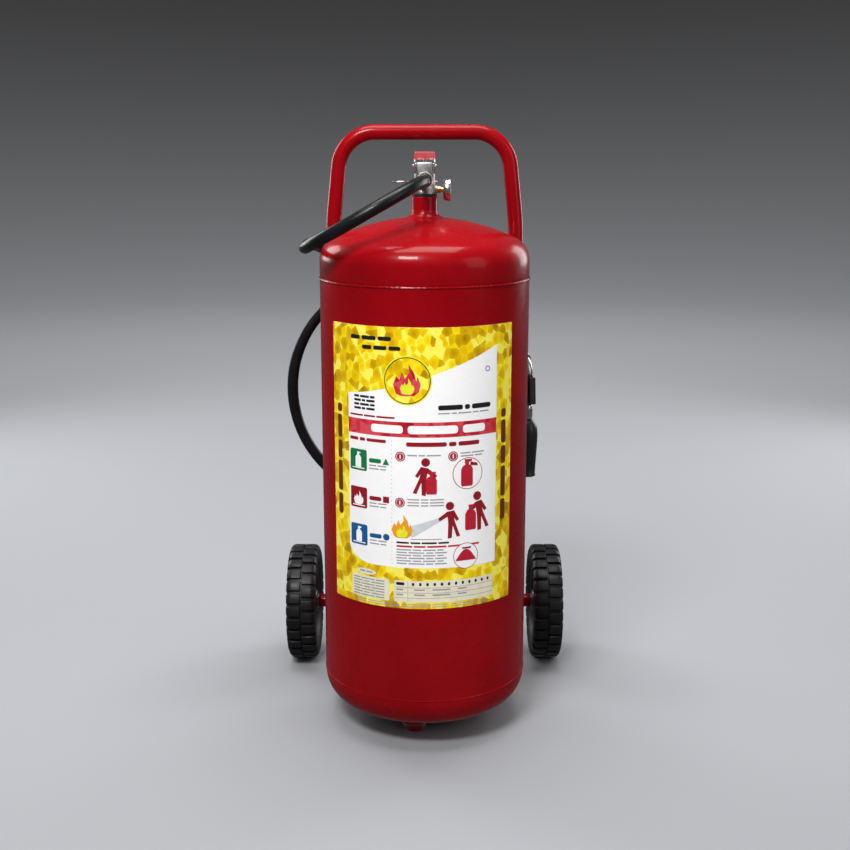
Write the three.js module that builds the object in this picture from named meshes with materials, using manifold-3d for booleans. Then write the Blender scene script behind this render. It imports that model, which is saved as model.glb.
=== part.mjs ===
// Wheeled dry-powder fire extinguisher with a stored-pressure vessel, a squeeze valve,
// a hose hung on a rear rack, a tubular push handle and a two-wheel carriage.
// Millimetres, +Z up, +X to the right seen from the front, +Y to the rear.
// Every sub-part is written in vessel coordinates: the vessel axis is x = y = 0 and the ground is z = 0.
// The finished group is then moved so that its origin is the bottom centre of the bounding box.

import * as THREE from 'three';
import { mergeVertices } from 'three/addons/utils/BufferGeometryUtils.js';
import Module from 'manifold-3d';

// ---------- driving dimensions ----------
const FIT_GAP = 0.35;          // gap kept between pieces that touch

const VESSEL_R = 200;          // outer radius of the pressure vessel
const WALL = 3.2;              // vessel wall
const BOTTOM_SEAM_Z = 107;
const TOP_SEAM_Z = 886.6;
const CROWN_R = 400;           // crown radius of both heads
const TOP_KNUCKLE_R = 44;
const TOP_FLANGE = 36;         // straight part of the top head
const BOTTOM_KNUCKLE_R = 60;
const BOTTOM_FLANGE = 5;
const VESSEL_SIDES = 40;

const NECK_R = 24.15;
const NECK_BORE_R = 18;
const NECK_BASE_Z = 990;
const NECK_TOP_Z = 1040.4;
const GASKET_THICK = 4.5;
const DIP_TUBE_R = 11;

const LABEL_START_DEG = -57;   // measured from the front, positive towards +X
const LABEL_END_DEG = 53;
const LABEL_BOTTOM_Z = 292;
const LABEL_TOP_Z = 818.5;
const LABEL_THICK = 0.4;

const FOOT_X = -20;
const FOOT_Y = -85;
const FOOT_R = 16.5;
const FOOT_FLARE_R = 32;

const AXLE_Y = 303;
const AXLE_Z = 127;
const AXLE_BAR_R = 8;
const AXLE_BAR_HALF = 302;
const AXLE_TUBE_R = 14.5;
const AXLE_TUBE_HALF = 239.7;
const TYRE_R = 127;
const TYRE_BEAD_R = 88;
const TYRE_INNER_X = 238;
const TYRE_OUTER_X = 303;
const HUB_INNER_X = 243;
const HUB_OUTER_X = 291;
const HUB_R = 25;
const BUSH_R = 11.5;
const WHEEL_SIDES = 36;

const HANDLE_TUBE_R = 15;
const HANDLE_Y = 118;
const HANDLE_LEG_X = 181;
const HANDLE_NECK_X = 168.5;   // half width where the splayed legs meet the top corners
const HANDLE_TOP_Z = 1160.8;
const HANDLE_CORNER_Z = 1103;
const HANDLE_SHOULDER_Z = 986;
const HANDLE_END_Z = 790;
const HANDLE_STRAIGHT_HALF = 98;
const GUSSET_HEIGHT = 30;
const GUSSET_LEVELS = { upper: 904, lower: 816 };

const STRUT_X = 150;
const STRUT_R = 14;
const STRUT_Y = 154.3;
const STRUT_TOP_Z = 470;
const STRUT_BEND_Z = 350;
const BRACE_X = 90;
const BRACE_R = 12;

const VALVE_BASE_Z = 1045.5;
const VALVE_TOP_Z = 1104;
const OUTLET_Z = 1072;
const OUTLET_R = 14.5;
const OUTLET_FACE_Y = -30;
const NUT_END_Y = -38;
const FERRULE_END_Y = -56;
const LEVER_PIVOT = { y: -11, z: 1097 };
const HANDLE_RIVET = { y: 11, z: 1094 };
const SAFETY_PIN = { y: 29, z: 1067, r: 2.2 };
const LEVER_TRAVEL_DEG = 13;

const GAUGE_Z = 1053.5;
const GAUGE_R = 21.5;
const GAUGE_BACK_X = 35;
const GAUGE_FRONT_X = 49;

const HOSE_R = 11.5;
const HOSE_SIDES = 8;
const HOSE_STEPS = 90;
const COIL_R = 187;            // radius of the neat turns behind the vessel
const COIL_Z = 680;
const COIL_FIRST_Y = 241;
const COIL_PITCH = 24;
const COIL_TURNS = 2;
const RACK_R = 170.5;          // upper surface of the curved rack under the turns
const RACK_HALF_WIDTH = 54;
const RACK_END_Y = 306;

const NOZZLE_X = 208;
const NOZZLE_Y = 84;
const NOZZLE_ELBOW_R = 30;
const NOZZLE_ELBOW_DEG = 60;
const GRIP_R = 10.5;
const GRIP_TOP_Z = 686;
const GRIP_BOTTOM_Z = 623.3;
const COUPLING_BOTTOM_Z = 594;
const HORN_MOUTH_Z = 476;
const NOZZLE_FERRULE_R = 13.2;
const NOZZLE_FERRULE_LENGTH = 30;

const wasm = await Module();
wasm.setup();

// ---------- materials ----------
function finish(color, roughness, metalness) {
  return new THREE.MeshStandardMaterial({ color, roughness, metalness });
}

const redPaint = finish(0x9c0812, 0.32, 0);
const leverRed = finish(0xa01018, 0.4, 0.1);
const nickel = finish(0x9b9794, 0.35, 1);
const steel = finish(0xb8babd, 0.3, 1);
const brass = finish(0xb98a45, 0.3, 1);
const rubber = finish(0x151515, 0.6, 0);
const tyreRubber = finish(0x121212, 0.75, 0);
const rimBlack = finish(0x202022, 0.55, 0.2);
const nylon = finish(0xd8d6cc, 0.5, 0);
const labelPaper = finish(0xd8b81c, 0.35, 0);
const dialWhite = finish(0xf2f2ee, 0.5, 0);
const needleRed = finish(0xb01818, 0.5, 0);
const lensClear = finish(0xd8e4ea, 0.05, 0);

// ---------- geometry helpers ----------
const degrees = (angle) => THREE.MathUtils.degToRad(angle);
const vec = (x, y, z) => new THREE.Vector3(x, y, z);

// One closed, merged, outward-facing copy of a geometry, with only its positions left.
function closedBody(source) {
  const bare = source.clone();
  bare.deleteAttribute('normal');
  bare.deleteAttribute('uv');
  const merged = mergeVertices(bare, 1e-4);
  const index = Array.from(merged.index.array);
  const position = merged.attributes.position;
  const kept = [];
  let volume = 0;
  const corner = [vec(0, 0, 0), vec(0, 0, 0), vec(0, 0, 0)];
  for (let i = 0; i < index.length; i += 3) {
    const [a, b, c] = index.slice(i, i + 3);
    if (a === b || b === c || c === a) {
      continue;
    }
    corner[0].fromBufferAttribute(position, a);
    corner[1].fromBufferAttribute(position, b);
    corner[2].fromBufferAttribute(position, c);
    volume += corner[0].dot(corner[1].clone().cross(corner[2]));
    kept.push(a, b, c);
  }
  if (volume < 0) {
    kept.reverse();
  }
  const body = new THREE.BufferGeometry();
  body.setAttribute('position', position.clone());
  body.setIndex(kept);
  return body;
}

function toSolid(geometry) {
  const body = closedBody(geometry);
  const mesh = new wasm.Mesh({
    numProp: 3,
    vertProperties: new Float32Array(body.attributes.position.array),
    triVerts: new Uint32Array(body.index.array),
  });
  return new wasm.Manifold(mesh);
}

function fromSolid(solid) {
  const mesh = solid.getMesh();
  const geometry = new THREE.BufferGeometry();
  geometry.setAttribute('position', new THREE.BufferAttribute(new Float32Array(mesh.vertProperties), 3));
  geometry.setIndex(Array.from(mesh.triVerts));
  return geometry;
}

// Joins every geometry in the first list and cuts away every geometry in the second.
function carve(joined, cut = []) {
  let solid = toSolid(joined[0]);
  for (const piece of joined.slice(1)) {
    solid = solid.add(toSolid(piece));
  }
  for (const piece of cut) {
    solid = solid.subtract(toSolid(piece));
  }
  return fromSolid(solid);
}

// A profile of [radius, height] pairs turned about +Z.
function turned(profile, sides = 24) {
  const points = profile.map(([r, h]) => new THREE.Vector2(r, h));
  return new THREE.LatheGeometry(points, sides).rotateX(Math.PI / 2);
}

function disc(radius, low, high, sides = 24) {
  return turned([[0, low], [radius, low], [radius, high], [0, high]], sides);
}

function ring(innerR, outerR, low, high, sides = 24) {
  return turned([[innerR, low], [outerR, low], [outerR, high], [innerR, high], [innerR, low]], sides);
}

// Turns a shape made about +Z so that its axis runs along X or Y through a point.
const alongX = (geometry, y, z) => geometry.rotateY(Math.PI / 2).translate(0, y, z);
const alongY = (geometry, x, z) => geometry.rotateX(-Math.PI / 2).translate(x, 0, z);

// An outline of [y, z] points extruded along X.
function plateAcross(outline, fromX, toX) {
  const shape = new THREE.Shape(outline.map(([y, z]) => new THREE.Vector2(y, z)));
  const plate = new THREE.ExtrudeGeometry(shape, { depth: toX - fromX, bevelEnabled: false });
  const toWorld = new THREE.Matrix4().makeBasis(vec(0, 1, 0), vec(0, 0, 1), vec(1, 0, 0));
  return plate.applyMatrix4(toWorld).translate(fromX, 0, 0);
}

function block(low, high) {
  const size = high.map((value, i) => value - low[i]);
  const box = new THREE.BoxGeometry(size[0], size[1], size[2]);
  return box.translate((low[0] + high[0]) / 2, (low[1] + high[1]) / 2, (low[2] + high[2]) / 2);
}

function tubeAlong(path, radius, steps, sides) {
  const corners = Array.from({ length: sides }, (_, i) => {
    const angle = (2 * Math.PI * i) / sides;
    return new THREE.Vector2(radius * Math.cos(angle), radius * Math.sin(angle));
  });
  const settings = { steps, extrudePath: path, bevelEnabled: false };
  return new THREE.ExtrudeGeometry(new THREE.Shape(corners), settings);
}

// Straight runs joined by smooth bends: each inner corner is rounded over the given reach.
function bentPath(corners, reach) {
  const path = new THREE.CurvePath();
  let start = corners[0];
  for (let i = 1; i < corners.length - 1; i += 1) {
    const before = corners[i].clone().lerp(corners[i - 1], reach / corners[i].distanceTo(corners[i - 1]));
    const after = corners[i].clone().lerp(corners[i + 1], reach / corners[i].distanceTo(corners[i + 1]));
    path.add(new THREE.LineCurve3(start, before));
    path.add(new THREE.QuadraticBezierCurve3(before, corners[i], after));
    start = after;
  }
  path.add(new THREE.LineCurve3(start, corners[corners.length - 1]));
  return path;
}

// Points of an arc in a profile, from one angle to another in degrees.
function arcPoints(centreR, centreH, radius, fromDeg, toDeg, count) {
  return Array.from({ length: count + 1 }, (_, i) => {
    const angle = degrees(fromDeg + ((toDeg - fromDeg) * i) / count);
    return [centreR + radius * Math.cos(angle), centreH + radius * Math.sin(angle)];
  });
}

const model = new THREE.Group();

function add(name, geometry, material, parent = model) {
  const mesh = new THREE.Mesh(closedBody(geometry), material);
  mesh.name = name;
  parent.add(mesh);
}

const sides = [['left', -1], ['right', 1]];

// ---------- pressure vessel ----------
// Height of a torispherical head above the end of its straight flange.
function headHeight(knuckleR) {
  const reach = CROWN_R - knuckleR;
  const inset = VESSEL_R - knuckleR;
  return CROWN_R - Math.sqrt(reach * reach - inset * inset);
}

// Half outline of a head surface, from its flange to the crown, in height above the flange end.
function headCurve(knuckleR, offset, crownEndR) {
  const centreH = headHeight(knuckleR) - CROWN_R;
  const inset = VESSEL_R - knuckleR;
  const joinDeg = THREE.MathUtils.radToDeg(Math.atan2(-centreH, inset));
  const crown = CROWN_R - offset;
  const endDeg = THREE.MathUtils.radToDeg(Math.acos(crownEndR / crown));
  const knuckle = arcPoints(inset, 0, knuckleR - offset, 0, joinDeg, 4);
  return knuckle.concat(arcPoints(0, centreH, crown, joinDeg, endDeg, 3).slice(1));
}

const topHeadBase = TOP_SEAM_Z + TOP_FLANGE;
const bottomHeadBase = BOTTOM_SEAM_Z - BOTTOM_FLANGE;
const neckHoleR = NECK_R + FIT_GAP;

function topHead() {
  const outer = headCurve(TOP_KNUCKLE_R, 0, neckHoleR).map(([r, h]) => [r, topHeadBase + h]);
  const inner = headCurve(TOP_KNUCKLE_R, WALL, neckHoleR).map(([r, h]) => [r, topHeadBase + h]);
  const foot = TOP_SEAM_Z + FIT_GAP;
  const profile = [[VESSEL_R - WALL, foot], [VESSEL_R, foot], ...outer, ...inner.reverse()];
  return turned([...profile, profile[0]], VESSEL_SIDES);
}

function bottomHead() {
  const outer = headCurve(BOTTOM_KNUCKLE_R, 0, 0).map(([r, h]) => [r, bottomHeadBase - h]);
  const inner = headCurve(BOTTOM_KNUCKLE_R, WALL, 0).map(([r, h]) => [r, bottomHeadBase - h]);
  const rim = BOTTOM_SEAM_Z - FIT_GAP;
  const profile = [[VESSEL_R - WALL, rim], [VESSEL_R, rim], ...outer];
  return turned([...inner.reverse(), ...profile], VESSEL_SIDES);
}

function neckCollar() {
  const weldTop = 1002.9;
  return turned([
    [NECK_BORE_R, NECK_BASE_Z],
    [NECK_R, NECK_BASE_Z],
    [NECK_R, weldTop],
    [30, weldTop - 0.6],
    [30, weldTop + 0.8],
    [26, weldTop + 3],
    [NECK_R, weldTop + 9],
    [NECK_R, NECK_TOP_Z],
    [NECK_BORE_R, NECK_TOP_Z],
    [NECK_BORE_R, NECK_BASE_Z],
  ], 24);
}

function foot() {
  const stub = turned([
    [0, 0],
    [FOOT_R, 0],
    [FOOT_R + 3, 3],
    [FOOT_R + 5, 10],
    [FOOT_FLARE_R, 19],
    [FOOT_FLARE_R, 30],
    [0, 30],
  ], 24).translate(FOOT_X, FOOT_Y, 0);
  const headSpace = headCurve(BOTTOM_KNUCKLE_R, -FIT_GAP, 0).map(([r, h]) => [r, bottomHeadBase - h]);
  return carve([stub], [turned([[0, BOTTOM_SEAM_Z], [VESSEL_R, BOTTOM_SEAM_Z], ...headSpace], VESSEL_SIDES)]);
}

// A thin band around the vessel, from one angle to another measured from the front.
function label() {
  const inner = VESSEL_R + FIT_GAP;
  const outer = inner + LABEL_THICK;
  const stepCount = 22;
  const edge = (radius) => Array.from({ length: stepCount + 1 }, (_, i) => {
    const angle = degrees(LABEL_START_DEG + ((LABEL_END_DEG - LABEL_START_DEG) * i) / stepCount);
    return new THREE.Vector2(radius * Math.sin(angle), -radius * Math.cos(angle));
  });
  const shape = new THREE.Shape([...edge(inner), ...edge(outer).reverse()]);
  const band = new THREE.ExtrudeGeometry(shape, { depth: LABEL_TOP_Z - LABEL_BOTTOM_Z, bevelEnabled: false });
  return band.translate(0, 0, LABEL_BOTTOM_Z);
}

add('cylinder_shell', ring(VESSEL_R - WALL, VESSEL_R, BOTTOM_SEAM_Z, TOP_SEAM_Z, VESSEL_SIDES), redPaint);
add('top_head', topHead(), redPaint);
add('bottom_head', bottomHead(), redPaint);
add('neck_collar', neckCollar(), redPaint);
add('foot', foot(), redPaint);
add('instruction_label', label(), labelPaper);
const gasketBase = NECK_TOP_Z + FIT_GAP;
add('neck_gasket', ring(18.4, 23.4, gasketBase, gasketBase + GASKET_THICK - FIT_GAP, 32), rubber);
add('dip_tube', ring(DIP_TUBE_R - 1.6, DIP_TUBE_R, 32, 1029.5, 16), nylon);

// ---------- valve ----------
const STEM_R = 3;
const SEAT_Z = 1062;

function valveBody() {
  const column = turned([
    [0, 1012],
    [17.4, 1012],
    [17.4, VALVE_BASE_Z],
    [22.5, VALVE_BASE_Z],
    [22.5, 1056],
    [19.5, 1066],
    [19.5, 1084],
    [0, 1084],
  ], 24);
  const head = block([-15, -17, 1080], [15, 17, VALVE_TOP_Z]);
  const outlet = alongY(disc(OUTLET_R, 0, -OUTLET_FACE_Y, 24), 0, OUTLET_Z).rotateZ(Math.PI);
  const gaugeBoss = alongX(disc(7.5, 0, 24, 16), 0, GAUGE_Z);
  const cuts = [
    disc(11.4, 1005, 1030, 24),
    disc(10, 1020, SEAT_Z, 24),
    disc(6, 1050, 1086, 24),
    disc(STEM_R + FIT_GAP, 1080, 1110, 16),
    alongY(disc(7.5, 2, 40, 20), 0, OUTLET_Z).rotateZ(Math.PI),
    alongX(disc(4.2, 8, 30, 16), 0, GAUGE_Z),
    alongX(disc(2.8 + FIT_GAP, -30, 30, 16), LEVER_PIVOT.y, LEVER_PIVOT.z),
    alongX(disc(2.5 + FIT_GAP, -30, 30, 16), HANDLE_RIVET.y, HANDLE_RIVET.z),
  ];
  return carve([column, head, outlet, gaugeBoss], cuts);
}

class Helix extends THREE.Curve {
  constructor(radius, low, high, turns) {
    super();
    this.radius = radius;
    this.low = low;
    this.high = high;
    this.turns = turns;
  }

  getPoint(t, target = vec(0, 0, 0)) {
    const angle = 2 * Math.PI * this.turns * t;
    const height = this.low + (this.high - this.low) * t;
    return target.set(this.radius * Math.cos(angle), this.radius * Math.sin(angle), height);
  }
}

// Mirrored pair of cheek plates at a distance from the mid plane.
function cheeks(outline, near, far) {
  return [plateAcross(outline, near, far), plateAcross(outline, -far, -near)];
}

const CARRY_CHEEK = [15.4, 17.4];
const LEVER_CHEEK = [17.9, 19.9];

function carryHandle() {
  const outline = [
    [-16, 1087], [22, 1087], [22, 1060], [38, 1060], [38, 1088], [30, 1092], [16, 1103], [-16, 1103],
  ];
  const shelf = block([-CARRY_CHEEK[1], 30, 1086], [CARRY_CHEEK[1], 94, 1089]);
  const lip = block([-CARRY_CHEEK[1], 91.5, 1078], [CARRY_CHEEK[1], 94, 1089]);
  const cuts = [
    alongX(disc(2.8 + FIT_GAP, -30, 30, 16), LEVER_PIVOT.y, LEVER_PIVOT.z),
    alongX(disc(2.5 + FIT_GAP, -30, 30, 16), HANDLE_RIVET.y, HANDLE_RIVET.z),
    alongX(disc(SAFETY_PIN.r + FIT_GAP, -30, 30, 16), SAFETY_PIN.y, SAFETY_PIN.z),
  ];
  return carve([...cheeks(outline, ...CARRY_CHEEK), shelf, lip], cuts);
}

// The slot follows the safety pin as the lever turns about its pivot.
function safetySlot() {
  const across = SAFETY_PIN.y - LEVER_PIVOT.y;
  const above = SAFETY_PIN.z - LEVER_PIVOT.z;
  const reach = Math.hypot(across, above);
  const restDeg = THREE.MathUtils.radToDeg(Math.atan2(above, across));
  const halfWidth = SAFETY_PIN.r + 2 * FIT_GAP;
  const far = restDeg + LEVER_TRAVEL_DEG + 1;
  const outer = arcPoints(LEVER_PIVOT.y, LEVER_PIVOT.z, reach + halfWidth, restDeg - 4, far + 3, 5);
  const inner = arcPoints(LEVER_PIVOT.y, LEVER_PIVOT.z, reach - halfWidth, restDeg - 4, far + 3, 5);
  return plateAcross([...outer, ...inner.reverse()], -30, 30);
}

function operatingLever() {
  const outline = [
    [-17, 1091], [-4, 1091], [2, 1112], [24, 1112], [24, 1060],
    [42, 1060], [42, 1124], [-6, 1124], [-13, 1117], [-17, 1106],
  ];
  const crown = block([-LEVER_CHEEK[1], -6, 1121], [LEVER_CHEEK[1], 42, 1124]);
  const grip = block([-14, 40, 1121], [14, 100, 1124]);
  const flanges = [block([-14, 40, 1117], [-12, 100, 1124]), block([12, 40, 1117], [14, 100, 1124])];
  const cuts = [alongX(disc(2.8 + FIT_GAP, -30, 30, 16), LEVER_PIVOT.y, LEVER_PIVOT.z), safetySlot()];
  return carve([...cheeks(outline, ...LEVER_CHEEK), crown, grip, ...flanges], cuts);
}

// A headed pin across the valve.
function crossPin(radius, halfLength, headR) {
  return turned([
    [0, -halfLength - 2],
    [headR, -halfLength - 2],
    [headR, -halfLength],
    [radius, -halfLength],
    [radius, halfLength],
    [headR, halfLength],
    [headR, halfLength + 2],
    [0, halfLength + 2],
  ], 16);
}

add('valve_body', valveBody(), nickel);
add('valve_stem', turned([
  [0, 1056],
  [9, 1056],
  [9, 1059],
  [5.5, SEAT_Z - 0.5],
  [STEM_R, SEAT_Z - 0.5],
  [STEM_R, 1119.5],
  [2, 1120.5],
  [0, 1120.5],
], 16), steel);
add('valve_spring', tubeAlong(new Helix(7.5, 1036.2, 1054.4, 4), 0.9, 36, 5), steel);
add('spring_seat', ring(5, 9.6, 1030.4, 1034.9, 20), brass);
add('carry_handle', carryHandle(), steel);
add('operating_lever', operatingLever(), leverRed);
const pivotGap = LEVER_CHEEK[1] + FIT_GAP;
add('lever_pivot_pin', alongX(crossPin(2.8, pivotGap, 4.5), LEVER_PIVOT.y, LEVER_PIVOT.z), steel);
const rivet = crossPin(2.5, CARRY_CHEEK[1] + FIT_GAP, 0);
add('handle_rivet', alongX(rivet, HANDLE_RIVET.y, HANDLE_RIVET.z), steel);
const RING_R = 15;
const RING_WIRE_R = 1.5;
const RING_X = -46;
const pinHeadX = RING_X + RING_R + RING_WIRE_R + FIT_GAP;
add('safety_pin', alongX(disc(SAFETY_PIN.r, pinHeadX, 25, 16), SAFETY_PIN.y, SAFETY_PIN.z), steel);
const ringSection = arcPoints(RING_R, 0, RING_WIRE_R, 0, 360, 6);
add('pull_ring', turned(ringSection, 20).translate(RING_X, SAFETY_PIN.y, SAFETY_PIN.z), steel);

// ---------- pressure gauge ----------
add('gauge_stem', alongX(turned([
  [0, 14],
  [3.8, 14],
  [3.8, 24.3],
  [6.5, 24.3],
  [6.5, 30],
  [4.5, 30],
  [4.5, GAUGE_BACK_X - FIT_GAP],
  [0, GAUGE_BACK_X - FIT_GAP],
], 12), 0, GAUGE_Z), brass);
add('gauge_case', alongX(turned([
  [0, GAUGE_BACK_X],
  [16, GAUGE_BACK_X],
  [GAUGE_R, GAUGE_BACK_X + 5],
  [GAUGE_R, GAUGE_FRONT_X],
  [GAUGE_R - 3, GAUGE_FRONT_X],
  [GAUGE_R - 3, GAUGE_FRONT_X - 0.8],
  [GAUGE_R - 1.6, GAUGE_FRONT_X - 0.8],
  [GAUGE_R - 1.6, 41],
  [0, 41],
], 32), 0, GAUGE_Z), steel);
add('gauge_dial', alongX(disc(19.5, 41.4, 42.2, 32), 0, GAUGE_Z), dialWhite);
const needleBlade = block([42.8, -0.9, -5], [43.4, 0.9, 14.5]).rotateX(degrees(-35));
add('gauge_needle', needleBlade.translate(0, 0, GAUGE_Z), needleRed);
add('gauge_lens', alongX(disc(19.5, 45.6, 47.8, 32), 0, GAUGE_Z), lensClear);

// ---------- hose ----------
const nozzleTurn = Math.atan2(NOZZLE_Y, NOZZLE_X);
const nozzleToVessel = (p) => p.applyAxisAngle(vec(0, 0, 1), nozzleTurn).add(vec(NOZZLE_X, NOZZLE_Y, 0));
const elbowAngle = degrees(NOZZLE_ELBOW_DEG);
const elbowBaseZ = GRIP_TOP_Z + FIT_GAP;
const elbowForward = NOZZLE_ELBOW_R * (1 - Math.cos(elbowAngle));
const elbowEnd = vec(0, elbowForward, elbowBaseZ + NOZZLE_ELBOW_R * Math.sin(elbowAngle));
const hoseWay = vec(0, Math.sin(elbowAngle), Math.cos(elbowAngle));
const alongHoseWay = (distance) => elbowEnd.clone().addScaledVector(hoseWay, distance);
const hoseEnd = alongHoseWay(NOZZLE_FERRULE_LENGTH + 2 * FIT_GAP);
const hoseLead = alongHoseWay(NOZZLE_FERRULE_LENGTH + 25);

// From the outlet, forward, round to the left of the neck and down behind the vessel.
const upperRun = [
  [0, FERRULE_END_Y - FIT_GAP, OUTLET_Z], [0, -72, 1071.5], [-4, -92, 1070], [-14, -118, 1066],
  [-34, -147, 1055.5], [-63, -169, 1039.5], [-97, -180, 1020.5], [-133, -178, 1000],
  [-167, -165, 981], [-195, -141, 965.5],
  [-213, -109, 955], [-221.5, -72, 950], [-223, -32, 949], [-223, 12, 949], [-220, 62, 946], [-213, 114, 940],
  [-195, 160, 926], [-162, 194, 907], [-118, 214, 888], [-60, 218, 873],
];

// The one wide turn, which hangs out past the left side of the vessel.
const wideTurn = [
  [0, 217, 867], [60, 218.5, 858], [115, 220, 829], [160, 222, 783], [187, 223.5, 722], [195, 225, 652],
  [188, 226.5, 582], [165, 228, 512], [122, 229.5, 450], [62, 231, 407], [-8, 232.5, 388], [-78, 234, 390],
  [-143, 235.5, 410], [-212, 236.5, 457], [-260, 237.5, 526], [-281, 238.5, 606], [-274, 239, 689],
  [-239, 239.5, 765], [-180, 240, 823], [-110, 240.5, 857], [-50, 241, 868],
];

const lastRun = [
  [64, 289.5, 856], [110, 288, 850], [150, 274, 835], [178, 245, 812], [190, 208, 790], [188, 172, 765],
];

function hoseRoute() {
  const points = [...upperRun, ...wideTurn];
  const pointsPerTurn = 12;
  for (let i = 0; i <= COIL_TURNS * pointsPerTurn; i += 1) {
    const angle = (2 * Math.PI * i) / pointsPerTurn;
    const y = COIL_FIRST_Y + (COIL_PITCH * i) / pointsPerTurn;
    points.push([COIL_R * Math.sin(angle), y, COIL_Z + COIL_R * Math.cos(angle)]);
  }
  points.push(...lastRun);
  const route = points.map(([x, y, z]) => vec(x, y, z));
  route.push(nozzleToVessel(hoseLead.clone()), nozzleToVessel(hoseEnd.clone()));
  return new THREE.CatmullRomCurve3(route, false, 'centripetal');
}

const outletPiece = (geometry) => alongY(geometry, 0, OUTLET_Z).rotateZ(Math.PI);
add('outlet_nut', outletPiece(disc(15.6, -OUTLET_FACE_Y + FIT_GAP, -NUT_END_Y, 6)), nickel);
add('hose_ferrule_valve', outletPiece(disc(12.9, -NUT_END_Y + FIT_GAP, -FERRULE_END_Y, 20)), rubber);
add('discharge_hose', tubeAlong(hoseRoute(), HOSE_R, HOSE_STEPS, HOSE_SIDES), rubber);

// ---------- hose rack ----------
// A curved shelf with a raised lip, welded to the back of the vessel under the top of the turns.
function hoseRack() {
  const halfDeg = THREE.MathUtils.radToDeg(Math.asin(RACK_HALF_WIDTH / RACK_R));
  const arcBand = (innerR, outerR, fromY, toY) => {
    const outer = arcPoints(0, COIL_Z, outerR, 90 - halfDeg, 90 + halfDeg, 8);
    const inner = arcPoints(0, COIL_Z, innerR, 90 - halfDeg, 90 + halfDeg, 8);
    const shape = new THREE.Shape([...outer, ...inner.reverse()].map(([x, z]) => new THREE.Vector2(x, z)));
    const band = new THREE.ExtrudeGeometry(shape, { depth: toY - fromY, bevelEnabled: false });
    const toWorld = new THREE.Matrix4().makeBasis(vec(1, 0, 0), vec(0, 0, 1), vec(0, -1, 0));
    return band.applyMatrix4(toWorld).translate(0, toY, 0);
  };
  const shelf = arcBand(RACK_R - 4, RACK_R, 180, RACK_END_Y);
  const lip = arcBand(RACK_R - 4, RACK_R + 26, RACK_END_Y - 3, RACK_END_Y);
  const gussetBottom = COIL_Z + RACK_R - 60;
  const gusset = plateAcross([
    [180, COIL_Z + RACK_R - 2],
    [180, gussetBottom],
    [204, gussetBottom],
    [RACK_END_Y - 12, COIL_Z + RACK_R - 2],
  ], -2.5, 2.5);
  return carve([shelf, lip, gusset], [disc(VESSEL_R + FIT_GAP, 600, 950, VESSEL_SIDES)]);
}

add('hose_rack', hoseRack(), redPaint);

// ---------- nozzle, built about its own axis ----------
const nozzle = new THREE.Group();
nozzle.position.set(NOZZLE_X, NOZZLE_Y, 0);
nozzle.rotation.z = nozzleTurn;
model.add(nozzle);

const NOZZLE_LEVER_Z = 676;
const NOZZLE_LEVER_Y = -14.5;

class Elbow extends THREE.Curve {
  getPoint(t, target = vec(0, 0, 0)) {
    const angle = elbowAngle * t;
    const forward = NOZZLE_ELBOW_R * (1 - Math.cos(angle));
    return target.set(0, forward, elbowBaseZ + NOZZLE_ELBOW_R * Math.sin(angle));
  }
}

function nozzleFerrule() {
  const body = disc(NOZZLE_FERRULE_R, FIT_GAP, NOZZLE_FERRULE_LENGTH, 20);
  return body.rotateX(-elbowAngle).translate(elbowEnd.x, elbowEnd.y, elbowEnd.z);
}

function nozzleGrip() {
  const barrel = turned([
    [0, GRIP_BOTTOM_Z],
    [9.5, GRIP_BOTTOM_Z],
    [GRIP_R, GRIP_BOTTOM_Z + 4],
    [GRIP_R, GRIP_TOP_Z - 6],
    [9.5, GRIP_TOP_Z],
    [0, GRIP_TOP_Z],
  ], 20);
  const lug = block([-3, -17, NOZZLE_LEVER_Z - 5], [3, 0, NOZZLE_LEVER_Z + 5]);
  return carve([barrel, lug], [alongX(disc(1.5 + FIT_GAP, -8, 8, 12), NOZZLE_LEVER_Y, NOZZLE_LEVER_Z)]);
}

function nozzleLever() {
  const outline = [
    [-21.5, NOZZLE_LEVER_Z + 5],
    [-11.5, NOZZLE_LEVER_Z + 5],
    [-11.5, NOZZLE_LEVER_Z - 5],
    [-18, NOZZLE_LEVER_Z - 12],
    [-22, 628],
    [-25.5, 628],
  ];
  const slot = block([-3.4, -18.6, NOZZLE_LEVER_Z - 14], [3.4, 0, NOZZLE_LEVER_Z + 9]);
  const pinHole = alongX(disc(1.5 + FIT_GAP, -8, 8, 12), NOZZLE_LEVER_Y, NOZZLE_LEVER_Z);
  return carve([plateAcross(outline, -6, 6)], [slot, pinHole]);
}

// A spring clip that opens outward and stands on the vessel wall.
function nozzleClip() {
  const clipLow = 600;
  const clipHigh = 616;
  const vesselAxisX = -Math.hypot(NOZZLE_X, NOZZLE_Y);
  const jaw = ring(10, 12.5, clipLow, clipHigh, 24);
  const stem = block([-30, -7, clipLow], [-10.8, 7, clipHigh]);
  const mouth = block([6, -20, clipLow - 5], [30, 20, clipHigh + 5]);
  const wall = disc(VESSEL_R + FIT_GAP, clipLow - 5, clipHigh + 5, 96).translate(vesselAxisX, 0, 0);
  return carve([jaw, stem], [mouth, wall, disc(10, clipLow - 5, clipHigh + 5, 24)]);
}

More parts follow.
